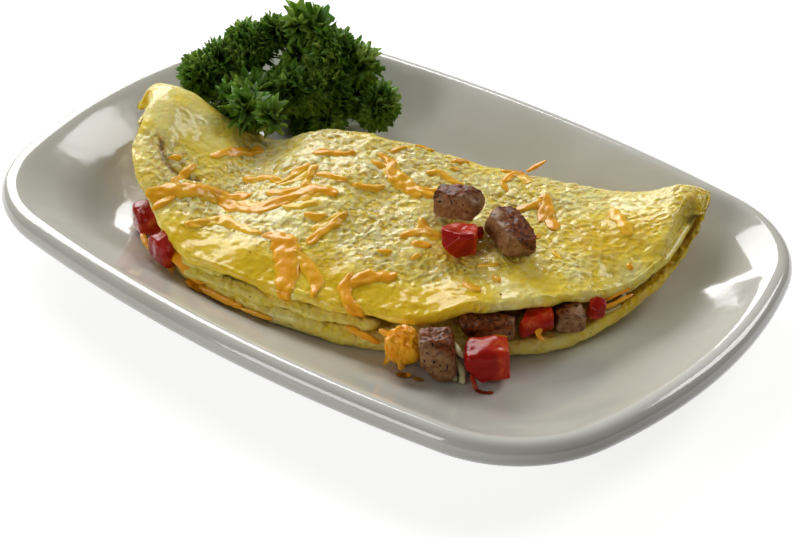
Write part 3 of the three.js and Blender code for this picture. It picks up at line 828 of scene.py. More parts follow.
# %% [markdown]
# ## Sausage and tomato
# Cubes of browned breakfast sausage and of fresh tomato spill from the fold and lie on top. Each was
# cut with a knife and then cooked, so it is a block with soft edges and uneven sides, not a ball. A
# modelled cube with bevels and a displacement would do; here the block is a rounded cube rule with
# random fields, which keeps every block different and lets one field also say where the crust is.

# %% Rounded blocks
BLOCK_ROWS = 30
KNIFE_CUTS, CUT_DEPTH = 7, 0.92


def block_grid(rows):
    """Directions over the six sides of a cube, with their faces."""
    t = np.tan(np.linspace(-1, 1, rows) * math.pi / 4)
    a, b = [g.ravel() for g in np.meshgrid(t, t, indexing="ij")]
    one = np.ones_like(a)
    sides = [(one, a, b), (-one, b, a), (b, one, a), (a, -one, b), (a, b, one), (b, a, -one)]
    points = np.concatenate([np.stack(side, 1) for side in sides])
    faces = sum((grid_faces(rows, rows, k * rows * rows, False) for k in range(6)), [])
    return points, faces


def cut_block(node, size, turn, tilt, softness, crust, seed,
              lumps=0.7, rough=0.25, nudge=(0, 0), deepest=0.72):
    """(points, faces, browned, tone) of a block on its CAD solid; `crust` is where its crust faces."""
    points, faces = block_grid(BLOCK_ROWS)
    power = 2 / softness
    points = points / (np.abs(points) ** power).sum(1, keepdims=True) ** (1 / power)
    way = points / np.linalg.norm(points, axis=1, keepdims=True)
    points = points * np.array([size[1], size[0], size[2]]) / 2
    random = np.random.default_rng(seed)
    for _ in range(KNIFE_CUTS):
        cut = random.normal(size=3)
        cut = cut / np.linalg.norm(cut)
        height = points @ cut
        deep = np.maximum(0, height - random.uniform(deepest, 0.95) * height.max())
        points = points - CUT_DEPTH * deep[:, None] * cut
    frame_turn = Matrix.Rotation(turn - math.pi / 2 + FOLD_ANGLE, 3, "Z") @ Matrix.Rotation(tilt, 3, "X")
    points, way = points @ np.array(frame_turn).T, way @ np.array(frame_turn).T
    c, s = math.cos(FOLD_ANGLE), math.sin(FOLD_ANGLE)
    look_way = np.array([crust[0] * c + crust[1] * s, crust[0] * s - crust[1] * c, crust[2]])
    look_way = look_way / np.linalg.norm(look_way)
    x, y, z = points.T
    edge = way @ look_way + 0.35 * bumps((x, y, z), 4, seed)
    browned = step(edge, 0.15, 0.5)
    dents = bumps((x, y, z), 7, seed + 1) + 0.45 * bumps((x, y, z), 3, seed + 2)
    grain = bumps((x, y, z), 0.9, seed + 3) + 0.7 * bumps((x, y, z), 1.7, seed + 4)
    points = points + way * (lumps * dents + rough * (0.35 + browned) * grain)[:, None]
    low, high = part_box(node)
    middle = (np.array(low) + np.array(high))[:2] / 2 / MM
    points[:, :2] += middle - (points.min(0) + points.max(0))[:2] / 2
    points[:, 2] += low.z / MM - points[:, 2].min()
    points[:, :2] += np.array([nudge[0] * c + nudge[1] * s, nudge[0] * s - nudge[1] * c])
    tone = np.clip(0.5 + 0.5 * bumps((x, y, z), 3, seed + 5), 0, 1)
    return points, faces, browned, tone


print("one block has", 6 * (BLOCK_ROWS - 1) ** 2, "faces")

# %% [markdown]
# Sausage has a dark fried crust, a little greasy, and a lighter brown cut face of coarse fibres with
# specks of black pepper. The crust's share comes with the mesh; the pepper is small dots of a noise.

# %% Fried sausage
sausage, tree, shader = new_material(
    "fried_sausage", Roughness=0.55, IOR=1.45, Specular_IOR_Level=0.12,
    Subsurface_Weight=0.08, Subsurface_Scale=0.002, Coat_Weight=0.2, Coat_Roughness=0.2)
place = add_node(tree, "ShaderNodeTexCoord").outputs["Object"]
browned = add_node(tree, "ShaderNodeAttribute", attribute_name="browned").outputs["Fac"]
fibre = add_node(tree, "ShaderNodeTexNoise", {"Vector": place, "Scale": 1 / (1.6 * MM), "Detail": 4.0})
share = add_node(tree, "ShaderNodeMapRange", {0: fibre, 1: 0.35, 2: 0.65})
cut = add_node(tree, "ShaderNodeMix", {0: share, 6: "7c4f30", 7: "a07850"}, data_type="RGBA")
fried = add_node(tree, "ShaderNodeMix", {0: share, 6: "421a06", 7: "8c481a"}, data_type="RGBA")
colour = add_node(tree, "ShaderNodeMix", {0: browned, 6: cut, 7: fried}, data_type="RGBA")
pepper = add_node(tree, "ShaderNodeTexNoise", {"Vector": place, "Scale": 1 / (1.3 * MM), "Detail": 0.0})
share = add_node(tree, "ShaderNodeMapRange", {0: pepper, 1: 0.72, 2: 0.76})
colour = add_node(tree, "ShaderNodeMix", {0: share, 6: colour, 7: "15110e"}, data_type="RGBA")
bump = add_node(tree, "ShaderNodeBump", {"Strength": 0.5, "Distance": 0.0006, "Height": fibre})
tree.links.new(colour.outputs[2], shader.inputs["Base Color"])
tree.links.new(bump.outputs[0], shader.inputs["Normal"])

# node, size (mm), turn, tilt, softness, browned side
SAUSAGES = [
    ("top_sausage_a", (17.5, 10.5, 9.5), -0.1, 0.1, 0.28, (-0.2, -0.6, 1.0)),
    ("top_sausage_b", (11.5, 23.5, 10), 0.72, 0, 0.42, (0.7, -0.1, 0.8)),
    ("sausage_front_a", (12, 12.5, 15.5), 0.3, 0.1, 0.36, (0.5, -0.6, 0.9)),
    ("sausage_front_b", (20.5, 8, 8.5), 0.16, 0, 0.45, (-0.5, 0.4, 0.8)),
    ("sausage_front_c", (10, 8.5, 8.5), 0.5, 0, 0.36, (-1.0, -0.2, 0.8)),
]
for k, (node, size, turn, tilt, softness, crust) in enumerate(SAUSAGES):
    points, faces, browned, _ = cut_block(node, size, turn, tilt, softness, crust, 100 + 10 * k)
    chunk = mesh_piece(node + "_fried", points, faces, {"browned": browned})
    finish_piece(tidy(chunk), sausage, "sausage", node)

# %% [markdown]
# Tomato flesh is wet and clear: light goes deep into it, so the dice glow from inside and have a thin
# sharp highlight. The skin side is a darker red, and paler veins run through the flesh.

# %% Fresh tomato
tomato, tree, shader = new_material(
    "fresh_tomato", Roughness=0.24, IOR=1.36, Specular_IOR_Level=0.3,
    Subsurface_Weight=0.35, Subsurface_Scale=0.004, Coat_Weight=0.14, Coat_Roughness=0.08)
shader.inputs["Subsurface Radius"].default_value = (1.0, 0.25, 0.1)
place = add_node(tree, "ShaderNodeTexCoord").outputs["Object"]
skinned = add_node(tree, "ShaderNodeAttribute", attribute_name="skinned").outputs["Fac"]
vein = add_node(tree, "ShaderNodeTexNoise", {"Vector": place, "Scale": 1 / (3 * MM), "Detail": 3.0})
share = add_node(tree, "ShaderNodeMapRange", {0: vein, 1: 0.5, 2: 0.72})
flesh = add_node(tree, "ShaderNodeMix", {0: share, 6: "bd2c10", 7: "d2662a"}, data_type="RGBA")
colour = add_node(tree, "ShaderNodeMix", {0: skinned, 6: flesh, 7: "a01408"}, data_type="RGBA")
bump = add_node(tree, "ShaderNodeBump", {"Strength": 0.25, "Distance": 0.0008, "Height": vein})
tree.links.new(colour.outputs[2], shader.inputs["Base Color"])
tree.links.new(bump.outputs[0], shader.inputs["Normal"])

# node, size (mm), turn, tilt, softness, skin side
TOMATOES = [
    ("top_tomato_a", (12.5, 11.5, 10.5), 0.2, 0, 0.32, (-0.3, 1.0, 0.2)),
    ("top_tomato_b", (4.4, 6, 4), 0, 0, 0.6, (0, 0, 1.0)),
    ("tomato_front_a", (15.5, 12.5, 12), 0.35, 0.1, 0.3, (-0.6, 1.0, 0.1)),
    ("tomato_front_b", (12, 9.5, 9), 0.3, 0.1, 0.4, (0.9, 0.3, -0.4)),
    ("tomato_front_c", (6.5, 5.2, 6.2), 0.7, 0, 0.55, (1.0, 0.3, 0.5)),
    ("tomato_left_a", (15, 9.5, 10), -0.95, 0.1, 0.45, (-1.0, 0.2, 0.6)),
    ("tomato_left_b", (14, 8.5, 10), -0.6, 0.1, 0.45, (-0.6, 0.8, 0.5)),
]
for k, (node, size, turn, tilt, softness, skin_side) in enumerate(TOMATOES):
    nudge = (3.0, -0.6) if "left" in node else (0, 0)
    points, faces, skinned, _ = cut_block(
        node, size, turn, tilt, softness, skin_side, 200 + 10 * k, 0.8, 0.06, nudge, 0.62)
    die = mesh_piece(node + "_diced", points, faces, {"skinned": skinned})
    finish_piece(tidy(die), tomato, "tomato", node)

# %% [markdown]
# ## The cheese
# Shredded orange cheddar was scattered on the hot egg. The shreds on top have melted onto the skin,
# and those in the openings hang loose. A loose shred is a soft strip along a path, so Geometry Nodes
# sweep a flattened ring along the path's edges, and a noise makes the strip uneven. Each point of a
# path carries its own width, so a strip can swell and taper. The parsley's stems and the edges of the
# thin egg layers inside the fold are strips too.

# %% The sweep along a path
RING_POINTS = 8


def sweep_group(thin):
    """Geometry Nodes that sweep edges with a `width` attribute into strips, `thin` as thick as wide."""
    group = bpy.data.node_groups.new("soft_strip", "GeometryNodeTree")
    group.interface.new_socket("Paths", in_out="INPUT", socket_type="NodeSocketGeometry")
    group.interface.new_socket("Material", in_out="INPUT", socket_type="NodeSocketMaterial")
    group.interface.new_socket("Unevenness", in_out="INPUT", socket_type="NodeSocketFloat")
    group.interface.new_socket("Strips", in_out="OUTPUT", socket_type="NodeSocketGeometry")
    given = add_node(group, "NodeGroupInput")
    path = add_node(group, "GeometryNodeMeshToCurve", {0: given.outputs["Paths"]})
    path = add_node(group, "GeometryNodeSetCurveNormal", {0: path}, mode="Z_UP")
    ring = add_node(group, "GeometryNodeCurvePrimitiveCircle", {"Resolution": RING_POINTS, "Radius": 1.0})
    flat = add_node(group, "GeometryNodeTransform", {0: ring.outputs[0], "Scale": (1, thin, 1)})
    width = add_node(group, "GeometryNodeInputNamedAttribute", {"Name": "width"}, data_type="FLOAT")
    strip = add_node(group, "GeometryNodeCurveToMesh", {0: path, 1: flat, "Scale": width, "Fill Caps": True})
    ripple = add_node(group, "ShaderNodeTexNoise", {"Scale": 1 / (2.2 * MM), "Detail": 2.0})
    centred = add_node(
        group, "ShaderNodeVectorMath", {0: ripple.outputs["Color"], 1: (0.5, 0.5, 0.5)},
        operation="SUBTRACT")
    offset = add_node(
        group, "ShaderNodeVectorMath", {0: centred, "Scale": given.outputs["Unevenness"]},
        operation="SCALE")
    uneven = add_node(group, "GeometryNodeSetPosition", {0: strip, "Offset": offset})
    whole = add_node(group, "GeometryNodeRealizeInstances", {0: uneven})
    painted = add_node(group, "GeometryNodeSetMaterial", {0: whole, "Material": given.outputs["Material"]})
    add_node(group, "NodeGroupOutput", {0: painted})
    return group


def grow(piece, group, **values):
    """Runs the nodes on a piece, with values given by input name, and keeps the result as a plain mesh."""
    modifier = piece.modifiers.new("grow", "NODES")
    modifier.node_group = group
    for item in group.interface.items_tree:
        key = item.name.replace(" ", "_")
        if item.in_out == "INPUT" and key in values:
            modifier[item.identifier] = values[key]
    bpy.context.view_layer.update()
    grown = bpy.data.meshes.new_from_object(piece.evaluated_get(bpy.context.evaluated_depsgraph_get()))
    piece.modifiers.clear()
    piece.data = grown
    grown.shade_smooth()
    return tidy(piece)


print("the sweep is ready")

# %% [markdown]
# A path is typed as a few corners, as one would click a curve in the viewport. Points are set along
# it at an even spacing and its bends are eased by averaging neighbours. On the egg a corner is only
# (u, w): the height comes from the egg's own finished grid, so a shred cannot float or sink.

# %% Paths, and points on the egg
def path_points(corners, spacing=0.7, smoothing=5):
    """Points every `spacing` millimetres along a line through the corners, with its bends eased."""
    corners = np.array(corners, float)
    lengths = np.concatenate([[0], np.cumsum(np.linalg.norm(np.diff(corners, axis=0), axis=1))])
    t = np.linspace(0, lengths[-1], max(6, int(lengths[-1] / spacing)))
    line = np.stack([np.interp(t, lengths, corners[:, k]) for k in range(corners.shape[1])], 1)
    for _ in range(smoothing):
        line[1:-1] = (line[:-2] + 2 * line[1:-1] + line[2:]) / 4
    return line


def strips(name, paths, thin, material, unevenness=0.5):
    """Sweeps (points in mm, half widths in mm, tone) paths into one piece."""
    points, edges, widths, tones = [], [], [], []
    for line, half_widths, tone in paths:
        start = len(points)
        points.extend(line.tolist())
        edges.extend((start + i, start + i + 1) for i in range(len(line) - 1))
        widths.extend(np.broadcast_to(half_widths, len(line)))
        tones.extend([tone] * len(line))
    mesh = bpy.data.meshes.new(name)
    mesh.from_pydata((np.array(points) * MM).tolist(), edges, [])
    for key, values in (("width", np.array(widths) * MM), ("tone", np.array(tones))):
        layer = mesh.attributes.new(key, "FLOAT", "POINT")
        layer.data.foreach_set("value", values.astype(np.float32))
    piece = bpy.data.objects.new(name, mesh)
    bpy.context.scene.collection.objects.link(piece)
    return rest_on_plate(grow(piece, sweep_group(thin), Material=material, Unevenness=unevenness * MM))


def on_egg(u, w, lift=0.0):
    """The point `lift` above the egg's skin, u along the fold and w along the slice."""
    at = min(max(float(np.interp(u, EGG["u"], np.arange(COLUMNS))), 0.0), COLUMNS - 1.001)
    column, share = int(at), at - int(at)
    both = []
    for k in (column, column + 1):
        rows = EGG["points"][k] + EGG["normal"][k] * lift
        both.append([np.interp(w, EGG["w"][:, k], rows[:, axis]) for axis in range(3)])
    return np.array(both[0]) * (1 - share) + np.array(both[1]) * share


print("a point of the skin", on_egg(0, 40).round(1))

# %% [markdown]
# Cheddar is orange from annatto, greasy and a little translucent: it has subsurface light and a
# soft gloss. Where the shred is thin it lets the yellow egg through, so its colour runs from yellow
# to orange by a tone that comes with the mesh, and a slow noise shifts it where it has melted.

# %% Cheddar
cheddar, tree, shader = new_material(
    "melted_cheddar", Roughness=0.4, IOR=1.45, Specular_IOR_Level=0.15,
    Subsurface_Weight=0.18, Subsurface_Scale=0.003, Coat_Weight=0.5, Coat_Roughness=0.12)
shader.inputs["Subsurface Radius"].default_value = (1.0, 0.5, 0.1)
place = add_node(tree, "ShaderNodeTexCoord").outputs["Object"]
tone = add_node(tree, "ShaderNodeAttribute", attribute_name="tone")
melt = add_node(tree, "ShaderNodeTexNoise", {"Vector": place, "Scale": 1 / (4 * MM), "Detail": 2.0})
melt = add_node(tree, "ShaderNodeMath", {0: melt, 1: 0.8, 2: -0.4}, operation="MULTIPLY_ADD")
share = add_node(tree, "ShaderNodeMath", {0: tone.outputs["Fac"], 1: melt}, operation="ADD", use_clamp=True)
colour = add_node(tree, "ShaderNodeMix", {0: share, 6: "ffce2c", 7: "fda208"}, data_type="RGBA")
grain = add_node(tree, "ShaderNodeTexNoise", {"Vector": place, "Scale": 1 / (1.2 * MM), "Detail": 2.0})
bump = add_node(tree, "ShaderNodeBump", {"Strength": 0.3, "Distance": 0.0006, "Height": grain})
tree.links.new(colour.outputs[2], shader.inputs["Base Color"])
tree.links.new(bump.outputs[0], shader.inputs["Normal"])
print("cheddar has", len(tree.nodes), "nodes")

# %% [markdown]
# The shreds on top lie in a loose band along the fold, and a few have slid towards the front. Where
# several have run together there is a thin film under them, and two drips run to the front edge.
# Scattering them by chance would lose that order, so each one has its own line in a table.

# %% Where the cheddar lies
# half width (mm), how orange, path (u, w)
SHREDS = [
    (1.5, 0.7, [(-71, 26), (-65, 16), (-58, 6)]), (1.2, 0.6, [(-83, 36), (-79, 33)]),
    (1.2, 0.6, [(-77, 49), (-76, 42), (-74, 34)]),
    (2.2, 0.7, [(-83, 59), (-78, 52), (-70, 48), (-62, 42), (-50, 41)]),
    (1.4, 0.7, [(-79, 63), (-77, 58), (-74, 54)]),
    (2.2, 0.8, [(-62, 43), (-56, 46), (-48, 51), (-41, 49), (-33, 44), (-27, 39), (-17, 40)]),
    (1.3, 0.5, [(-57, 30), (-48, 30), (-40, 35), (-37, 31), (-32, 26)]),
    (1.2, 0.5, [(-31, 39), (-31, 29), (-30, 25)]), (1.2, 0.6, [(-29, 30), (-23, 31), (-16, 32)]),
    (1.2, 0.8, [(-34, 19), (-28, 17), (-19, 14)]), (1.4, 0.6, [(-44, 41), (-37, 41), (-30, 39)]),
    (1.2, 0.6, [(-14, 33), (-9, 33), (-3, 29)]), (1.4, 0.2, [(-35, 49), (-28, 49), (-22, 47)]),
    (1.2, 0.6, [(-25, 53), (-20, 54), (-17, 52)]),
    (1.5, 0.7, [(-19, 67), (-17, 62), (-14, 56), (-11, 48)]),
    (1.6, 0.4, [(-65, 66), (-61, 62), (-56, 55), (-50, 59), (-43, 63), (-37, 65)]),
    (1.8, 0.9, [(0, 77), (0, 83), (4, 90), (9, 95)]),
    (2.3, 0.9, [(0, 82), (5, 77), (11, 74), (15, 72)]), (1.3, 0.6, [(5, 63), (10, 62)]),
    (1.6, 0.7, [(-11, 11), (-6, 13), (-3, 22), (2, 27), (11, 31)]), (1.3, 0.6, [(-12, 17), (-6, 19)]),
    (1.2, 0.7, [(-8, 8), (-3, 4)]), (2.0, 0.6, [(-3, 19), (1, 23), (7, 27), (15, 29)]),
    (1.3, 0.6, [(8, 16), (12, 14), (17, 16), (23, 17)]), (1.3, 0.6, [(9, 26), (15, 25), (18, 20)]),
    (1.2, 0.5, [(-8, 31), (-3, 30)]), (1.5, 0.7, [(10, 53), (16, 49), (22, 48)]),
    (1.4, 0.6, [(14, 42), (18, 47), (24, 49)]), (1.4, 0.7, [(15, 56), (22, 55)]),
    (1.3, 0.7, [(38, 71), (41, 72), (45, 75)]), (1.2, 0.6, [(47, 65), (50, 68)]),
    (1.4, 0.8, [(32, 1), (36, -1), (40, -4)]), (1.2, 0.8, [(35, 9), (36, 4), (38, -1), (42, -1)]),
    (1.2, 0.7, [(34, 8), (38, 14)]), (1.5, 0.7, [(43, 23), (48, 21), (52, 18)]),
    (1.6, 0.8, [(50, 15), (52, 13), (55, 20), (60, 33)]), (1.5, 0.8, [(52, 18), (54, 28)]),
    (1.3, 0.8, [(54, 40), (56, 36)]), (2.0, 0.4, [(76, 13), (80, 20), (85, 27), (86, 29)]),
    (1.2, 0.9, [(88, 42), (90, 44)]), (1.2, 0.6, [(14, 4), (20, 0)]), (1.2, 0.6, [(15, 10), (19, 8)]),
    (1.2, 0.6, [(-1, 0), (7, -2)]), (1.2, 0.5, [(17, 63), (20, 60)]), (0.7, 0.4, [(62, 45), (67, 49)]),
    (0.7, 0.4, [(40, 60), (48, 59)]),
]
# thin films where several shreds have run together
FILMS = [
    (3.6, 0.35, [(-60, 43), (-54, 46), (-46, 49), (-38, 47), (-30, 43), (-22, 40)]),
    (2.8, 0.3, [(-82, 58), (-76, 52), (-68, 48), (-58, 43)]),
    (3.2, 0.3, [(-6, 14), (-3, 22), (3, 26), (12, 29)]), (2.6, 0.25, [(-63, 63), (-56, 57), (-48, 60)]),
    (2.8, 0.4, [(38, 0), (42, 3), (44, 6)]), (2.8, 0.4, [(50, 16), (54, 20), (57, 27)]),
    (3.0, 0.3, [(14, 46), (20, 49), (24, 49)]), (2.6, 0.3, [(2, 80), (8, 76), (14, 73)]),
    (2.4, 0.2, [(-42, 36), (-34, 32), (-28, 31)]), (2.4, 0.2, [(-20, 60), (-15, 55), (-12, 49)]),
]
# drips: how orange, path (u, w), and the half width at each corner
DRIPS = [
    (0.8, [(-36, 66), (-31, 65), (-26, 70), (-22, 77), (-20, 85), (-19, 93), (-18, 99)],
     [1.0, 3.2, 5.2, 5.4, 4.2, 2.8, 0.8]),
    (0.6, [(-22, 72), (-15, 77), (-10, 83), (-9, 90)], [1.2, 3.2, 2.6, 0.7]),
]
print(len(SHREDS), "shreds,", len(FILMS), "films,", len(DRIPS), "drips")

# %% [markdown]
# A melted shred has no round edge of its own: it is flat, thickest along its middle and sunk into
# the skin at its ragged sides. A swept tube would look laid on, so here each ring of a strip is set
# point by point on the egg's skin, lifted by a rounded thickness, and closed underneath.

# %% Melted cheddar on the egg
ACROSS = np.linspace(-1, 1, 9)
EDGE_SINK, UNDER_SINK = 0.14, 0.7
SHRED_THICKNESS, FILM_THICKNESS = 0.95, 0.42


def tapered(line, half, seed):
    """Half widths along a line that is narrow at both ends and a little uneven between."""
    t = np.linspace(0, 1, len(line))
    ends = np.clip(np.minimum(t, 1 - t) * len(t) / 4, 0, 1)
    return half * (0.4 + 0.6 * np.sqrt(ends)) * (1 + 0.2 * bumps((t * 6, t * 0 + seed), 0.7, 63))


def melted_strip(line, halves, thick, tone, seed):
    """Rings of points, and their tones, of a strip that hugs the egg."""
    forward = np.gradient(line, axis=0)
    sideways = np.stack([-forward[:, 1], forward[:, 0]], 1) / np.linalg.norm(forward, axis=1, keepdims=True)
    rings, tones = [], []
    for spot, side, half in zip(line, sideways, halves):
        ragged = 1 + 0.32 * bumps((spot[0] + 9 * np.sign(ACROSS), spot[1] + 0 * ACROSS), 1.9, seed + 50)
        places = spot + side * (half * ACROSS * ragged)[:, None]
        swell = 1 + 0.6 * bumps((places[:, 0], places[:, 1]), 1.8, seed)
        crown = (1 - np.abs(ACROSS) ** 2.5) ** 0.6
        lifts = thick * np.minimum(1, half) * swell * crown - EDGE_SINK
        top = [on_egg(u, w, lift) for (u, w), lift in zip(places, lifts)]
        under = [on_egg(u, w, -UNDER_SINK) for u, w in places[-2:0:-1]]
        rings.append(top + under)
        tones.append(np.concatenate([tone - 0.45 * np.abs(ACROSS) ** 3, np.full(len(under), tone)]))
    rings = np.array(rings)
    for _ in range(2):
        rings[1:-1] = (rings[:-2] + rings[1:-1] * 2 + rings[2:]) / 4
    return rings, np.array(tones)


def shred_rows():
    """(line, half widths, thickness, tone) of every shred, film and drip."""
    rows = []
    for k, (half, tone, corners) in enumerate(SHREDS):
        line = path_points(corners)
        t = np.linspace(0, 1, len(line))
        line[:, 1] += 0.5 * bumps((t * 3, t * 0 + k), 0.8, 61)
        ends = np.clip(np.minimum(t, 1 - t) * len(t) / 3.5, 0, 1)
        width = 1.4 * half * (0.3 + 0.7 * np.sqrt(ends)) * (1 + 0.34 * bumps((t * 6, t * 0 + k), 0.6, 62))
        rows.append((line, width, SHRED_THICKNESS, tone))
    for k, (half, tone, corners) in enumerate(FILMS):
        line = path_points(corners)
        rows.append((line, tapered(line, half, 40 + k), FILM_THICKNESS, tone))
    for tone, corners, halves in DRIPS:
        line = path_points(np.column_stack([np.array(corners, float), halves]))
        rows.append((line[:, :2], line[:, 2], SHRED_THICKNESS, tone))
    return rows


def laid_cheddar():
    """All the cheddar that lies on the egg, as one mesh of closed strips."""
    points, faces, tones = [], [], []
    for k, (line, halves, thick, tone) in enumerate(shred_rows()):
        rings, ring_tones = melted_strip(line, halves, thick, tone, 600 + k)
        start, (count, sides) = len(points), rings.shape[:2]
        last = start + (count - 1) * sides
        points += rings.reshape(-1, 3).tolist()
        tones += ring_tones.ravel().tolist()
        faces += grid_faces(count, sides, start)
        faces += [tuple(range(start, start + sides)), tuple(last + i for i in reversed(range(sides)))]
    return tidy(mesh_piece("cheddar_shreds", points, faces, {"tone": tones}))


finish_piece(laid_cheddar(), cheddar, "cheddar")

# %% [markdown]
# In front of the fold a clot of cheddar has set on the plate. It has no cut sides, so it is the same
# rounded block as the dice, but softer and with larger lumps.

# %% The clot in front
points, faces, _, tone = cut_block("cheese_front", (12, 9, 13), 0.2, 0.15, 0.75, (0, 0, 1), 300, 1.6, 0.5)
clot = mesh_piece("cheddar_clot", points, faces, {"tone": 0.5 + 0.5 * tone})
finish_piece(tidy(clot), cheddar, "cheddar", "cheese_front")

# %% [markdown]
# ## What shows in the openings
# Between the flap and the lower layer the edges of thinner turns of egg show along the front, with
# melted cheddar above and below them. Each is a wide flat strip that follows the flap's own edge, so
# its path is worked out from that edge. It is made of the same egg, so it takes the egg's material,
# with the attributes that the material reads set to one tone and a light crinkle.

# %% Turns of egg inside the fold
# from u, to u, how far out, height, half width (mm)
TURNS = [
    (-60, 14, 1.8, 14.6, 4.2), (-76, -44, -0.5, 16.5, 3.4), (58, 88, -2.5, 15.2, 3.4),
    (86, 105, -0.5, 16.3, 3.0),
]
TURN_SPACING, TURN_SET_BACK = 0.9, 3
TURN_TONE, TURN_CRINKLE = 0.42, 0.3


def in_fold(corners, spacing=0.7):
    """An eased line through corners given as (u, v, height)."""
    line = path_points(corners, spacing)
    x, y = to_plate(line[:, 0], line[:, 1])
    return np.stack([x, y, line[:, 2]], 1)


def inner_turns():
    """Front edges of the thin egg layers inside the fold, following the flap's own edge."""
    paths = []
    for start, end, out, height, half in TURNS:
        u = np.linspace(start, end, int((end - start) / TURN_SPACING))
        edge = np.minimum(upper_reach(u), lower_reach(u))
        v = edge + out - TURN_SET_BACK + 0.9 * bumps((u, u * 0), 7, 71)
        x, y = to_plate(u, v)
        z = height + 0.5 * bumps((u, u * 0), 9, 72) + 0.35 * np.maximum(0, np.abs(u) - TIP_START)
        line = np.stack([x, y, z], 1)
        paths.append((line, tapered(line, half, start), 0.4))
    return paths


turns = strips("egg_inner_turns", inner_turns(), 0.42, egg_material, 1.5)
look = turns.data.attributes.new("look", "FLOAT_COLOR", "POINT")
look.data.foreach_set("color", [TURN_TONE, 0.0, 0.0, 1.0] * len(turns.data.vertices))
crinkle = turns.data.attributes.new("crinkle", "FLOAT", "POINT")
crinkle.data.foreach_set("value", [TURN_CRINKLE] * len(turns.data.vertices))
finish_piece(turns, egg_material, "cooked_egg")

# %% [markdown]
# A few curls of cheddar hang among the dice, at the left end and over the back edge. They are not
# melted flat, so they are swept strips, with their paths given as u, v and height above the table.

# %% Loose cheddar
# half width (mm), how orange, path (u, v, height)
CHEDDAR_CURLS = [
    (3.6, 0.8, [(-72, 68, 17), (-64, 74, 16), (-57, 79, 15), (-50, 83, 13.5)]),
    (2.2, 0.7, [(-58, 82, 12), (-54, 83, 10), (-50, 86, 9)]),
    (1.6, 0.8, [(-52, 84.5, 12.4), (-42, 89, 12.4), (-34, 91.5, 12.2)]),
    (1.1, 0.7, [(-34, 92, 12.2), (-26, 93.5, 12), (-22, 94, 11.6)]),
    (1.5, 0.8, [(4, 93, 14.5), (11, 95.5, 14), (17, 96, 12.5)]),
    (1.8, 0.8, [(16, 93, 16), (21, 95, 15.5), (27, 96, 15)]),
    (1.6, 0.8, [(20, 97, 15), (22, 100, 11), (20, 101, 8)]),
    (1.7, 0.7, [(24, 98, 17), (26, 102, 13), (27, 103, 9)]),
    (1.6, 0.8, [(30, 103, 8), (26, 104, 3), (29, 105, 1.5)]), (1.5, 0.6, [(31, 104, 4), (35, 104, 2)]),
    (1.2, 0.8, [(65, 74, 19), (66.5, 77, 18.5), (66.5, 79, 15.5), (69, 79.5, 14.8)]),
    (1.1, 0.5, [(51, 84, 17), (55, 85, 17.4), (58, 84, 16.8)]),
    (1.2, 0.6, [(47, 90, 12), (49, 92, 11), (49, 94, 7)]),
    (1.2, 0.9, [(84, 56, 19), (89, 50, 20), (94, 43, 21)]),
    (1.0, 0.8, [(80, 62, 17), (86, 57, 17.5), (92, 49, 18.5)]),
    (1.1, 0.8, [(41, -2, 27.5), (44, -4.5, 29), (47, -6, 31)]),
    (1.3, 0.7, [(-83, 63, 14), (-79, 68, 13.5), (-73, 72, 12.5)]),
    (1.4, 0.8, [(-71, 71, 15), (-67, 75, 13), (-66, 77, 10)]),
]


def curl_paths():
    """The path, half widths and tone of each loose curl."""
    paths = []
    for k, (half, tone, corners) in enumerate(CHEDDAR_CURLS):
        line = in_fold(corners)
        paths.append((line, tapered(line, half, k), tone))
    return paths


finish_piece(strips("cheddar_curls", curl_paths(), 0.45, cheddar, 0.7), cheddar, "cheddar")

# %% [markdown]
# The white shreds are a mild cheese that softened without browning: nearly opaque, cream coloured and
# a little waxy, so they catch the light against the dark filling. Beside them, under the front
# tomato, a thin curl of tomato skin stands on the plate, made as one more strip.

# %% White shreds
white_cheese, tree, shader = new_material(
    "white_cheese", Roughness=0.35, IOR=1.45, Subsurface_Weight=0.3, Subsurface_Scale=0.002, Coat_Weight=0.2)
place = add_node(tree, "ShaderNodeTexCoord").outputs["Object"]
curd = add_node(tree, "ShaderNodeTexNoise", {"Vector": place, "Scale": 1 / (2.5 * MM), "Detail": 2.0})
colour = add_node(tree, "ShaderNodeMix", {0: curd, 6: "e6d894", 7: "f0e8bc"}, data_type="RGBA")
tree.links.new(colour.outputs[2], shader.inputs["Base Color"])
# half width (mm), path (u, v, height)
WHITE_SHREDS = [
    (1.2, [(41, 92, 16), (44, 95, 14.5), (47, 97, 14)]),
    (1.1, [(43, 95, 12), (46, 98, 11), (47, 100, 7), (46, 101, 4)]),
    (0.9, [(40, 96, 9), (44, 99, 8), (45, 101, 5)]),
    (0.9, [(20, 93, 17), (25, 94, 17.5), (29, 93.5, 17)]),
    (1.1, [(84, 57, 17), (88, 53, 17), (90, 50, 18.5), (87, 51, 20)]),
    (0.9, [(80, 61, 15.6), (85, 58, 15.4), (89, 53, 16)]),
    (0.9, [(-76, 66, 15), (-73, 70, 14), (-70, 73, 12)]),
]
SKIN_CURL = [(50, 100.5, 11), (52.5, 102.4, 6), (54, 103.2, 1.4), (56.5, 102.6, 4.5), (58, 101.8, 6)]


def white_paths():
    """The path, half widths and tone of each white shred."""
    paths = []
    for k, (half, corners) in enumerate(WHITE_SHREDS):
        line = in_fold(corners)
        paths.append((line, tapered(line, half, k), 0.2))
    return paths


white_shreds = strips("white_cheese_shreds", white_paths(), 0.4, white_cheese, 0.5)
finish_piece(white_shreds, white_cheese, "filling_mix")
curl = in_fold(SKIN_CURL, 0.4)
skin_curl = strips("tomato_skin_curl", [(curl, tapered(curl, 0.9, 5), 0.5)], 0.3, tomato, 0.1)
finish_piece(skin_curl, tomato, "tomato")
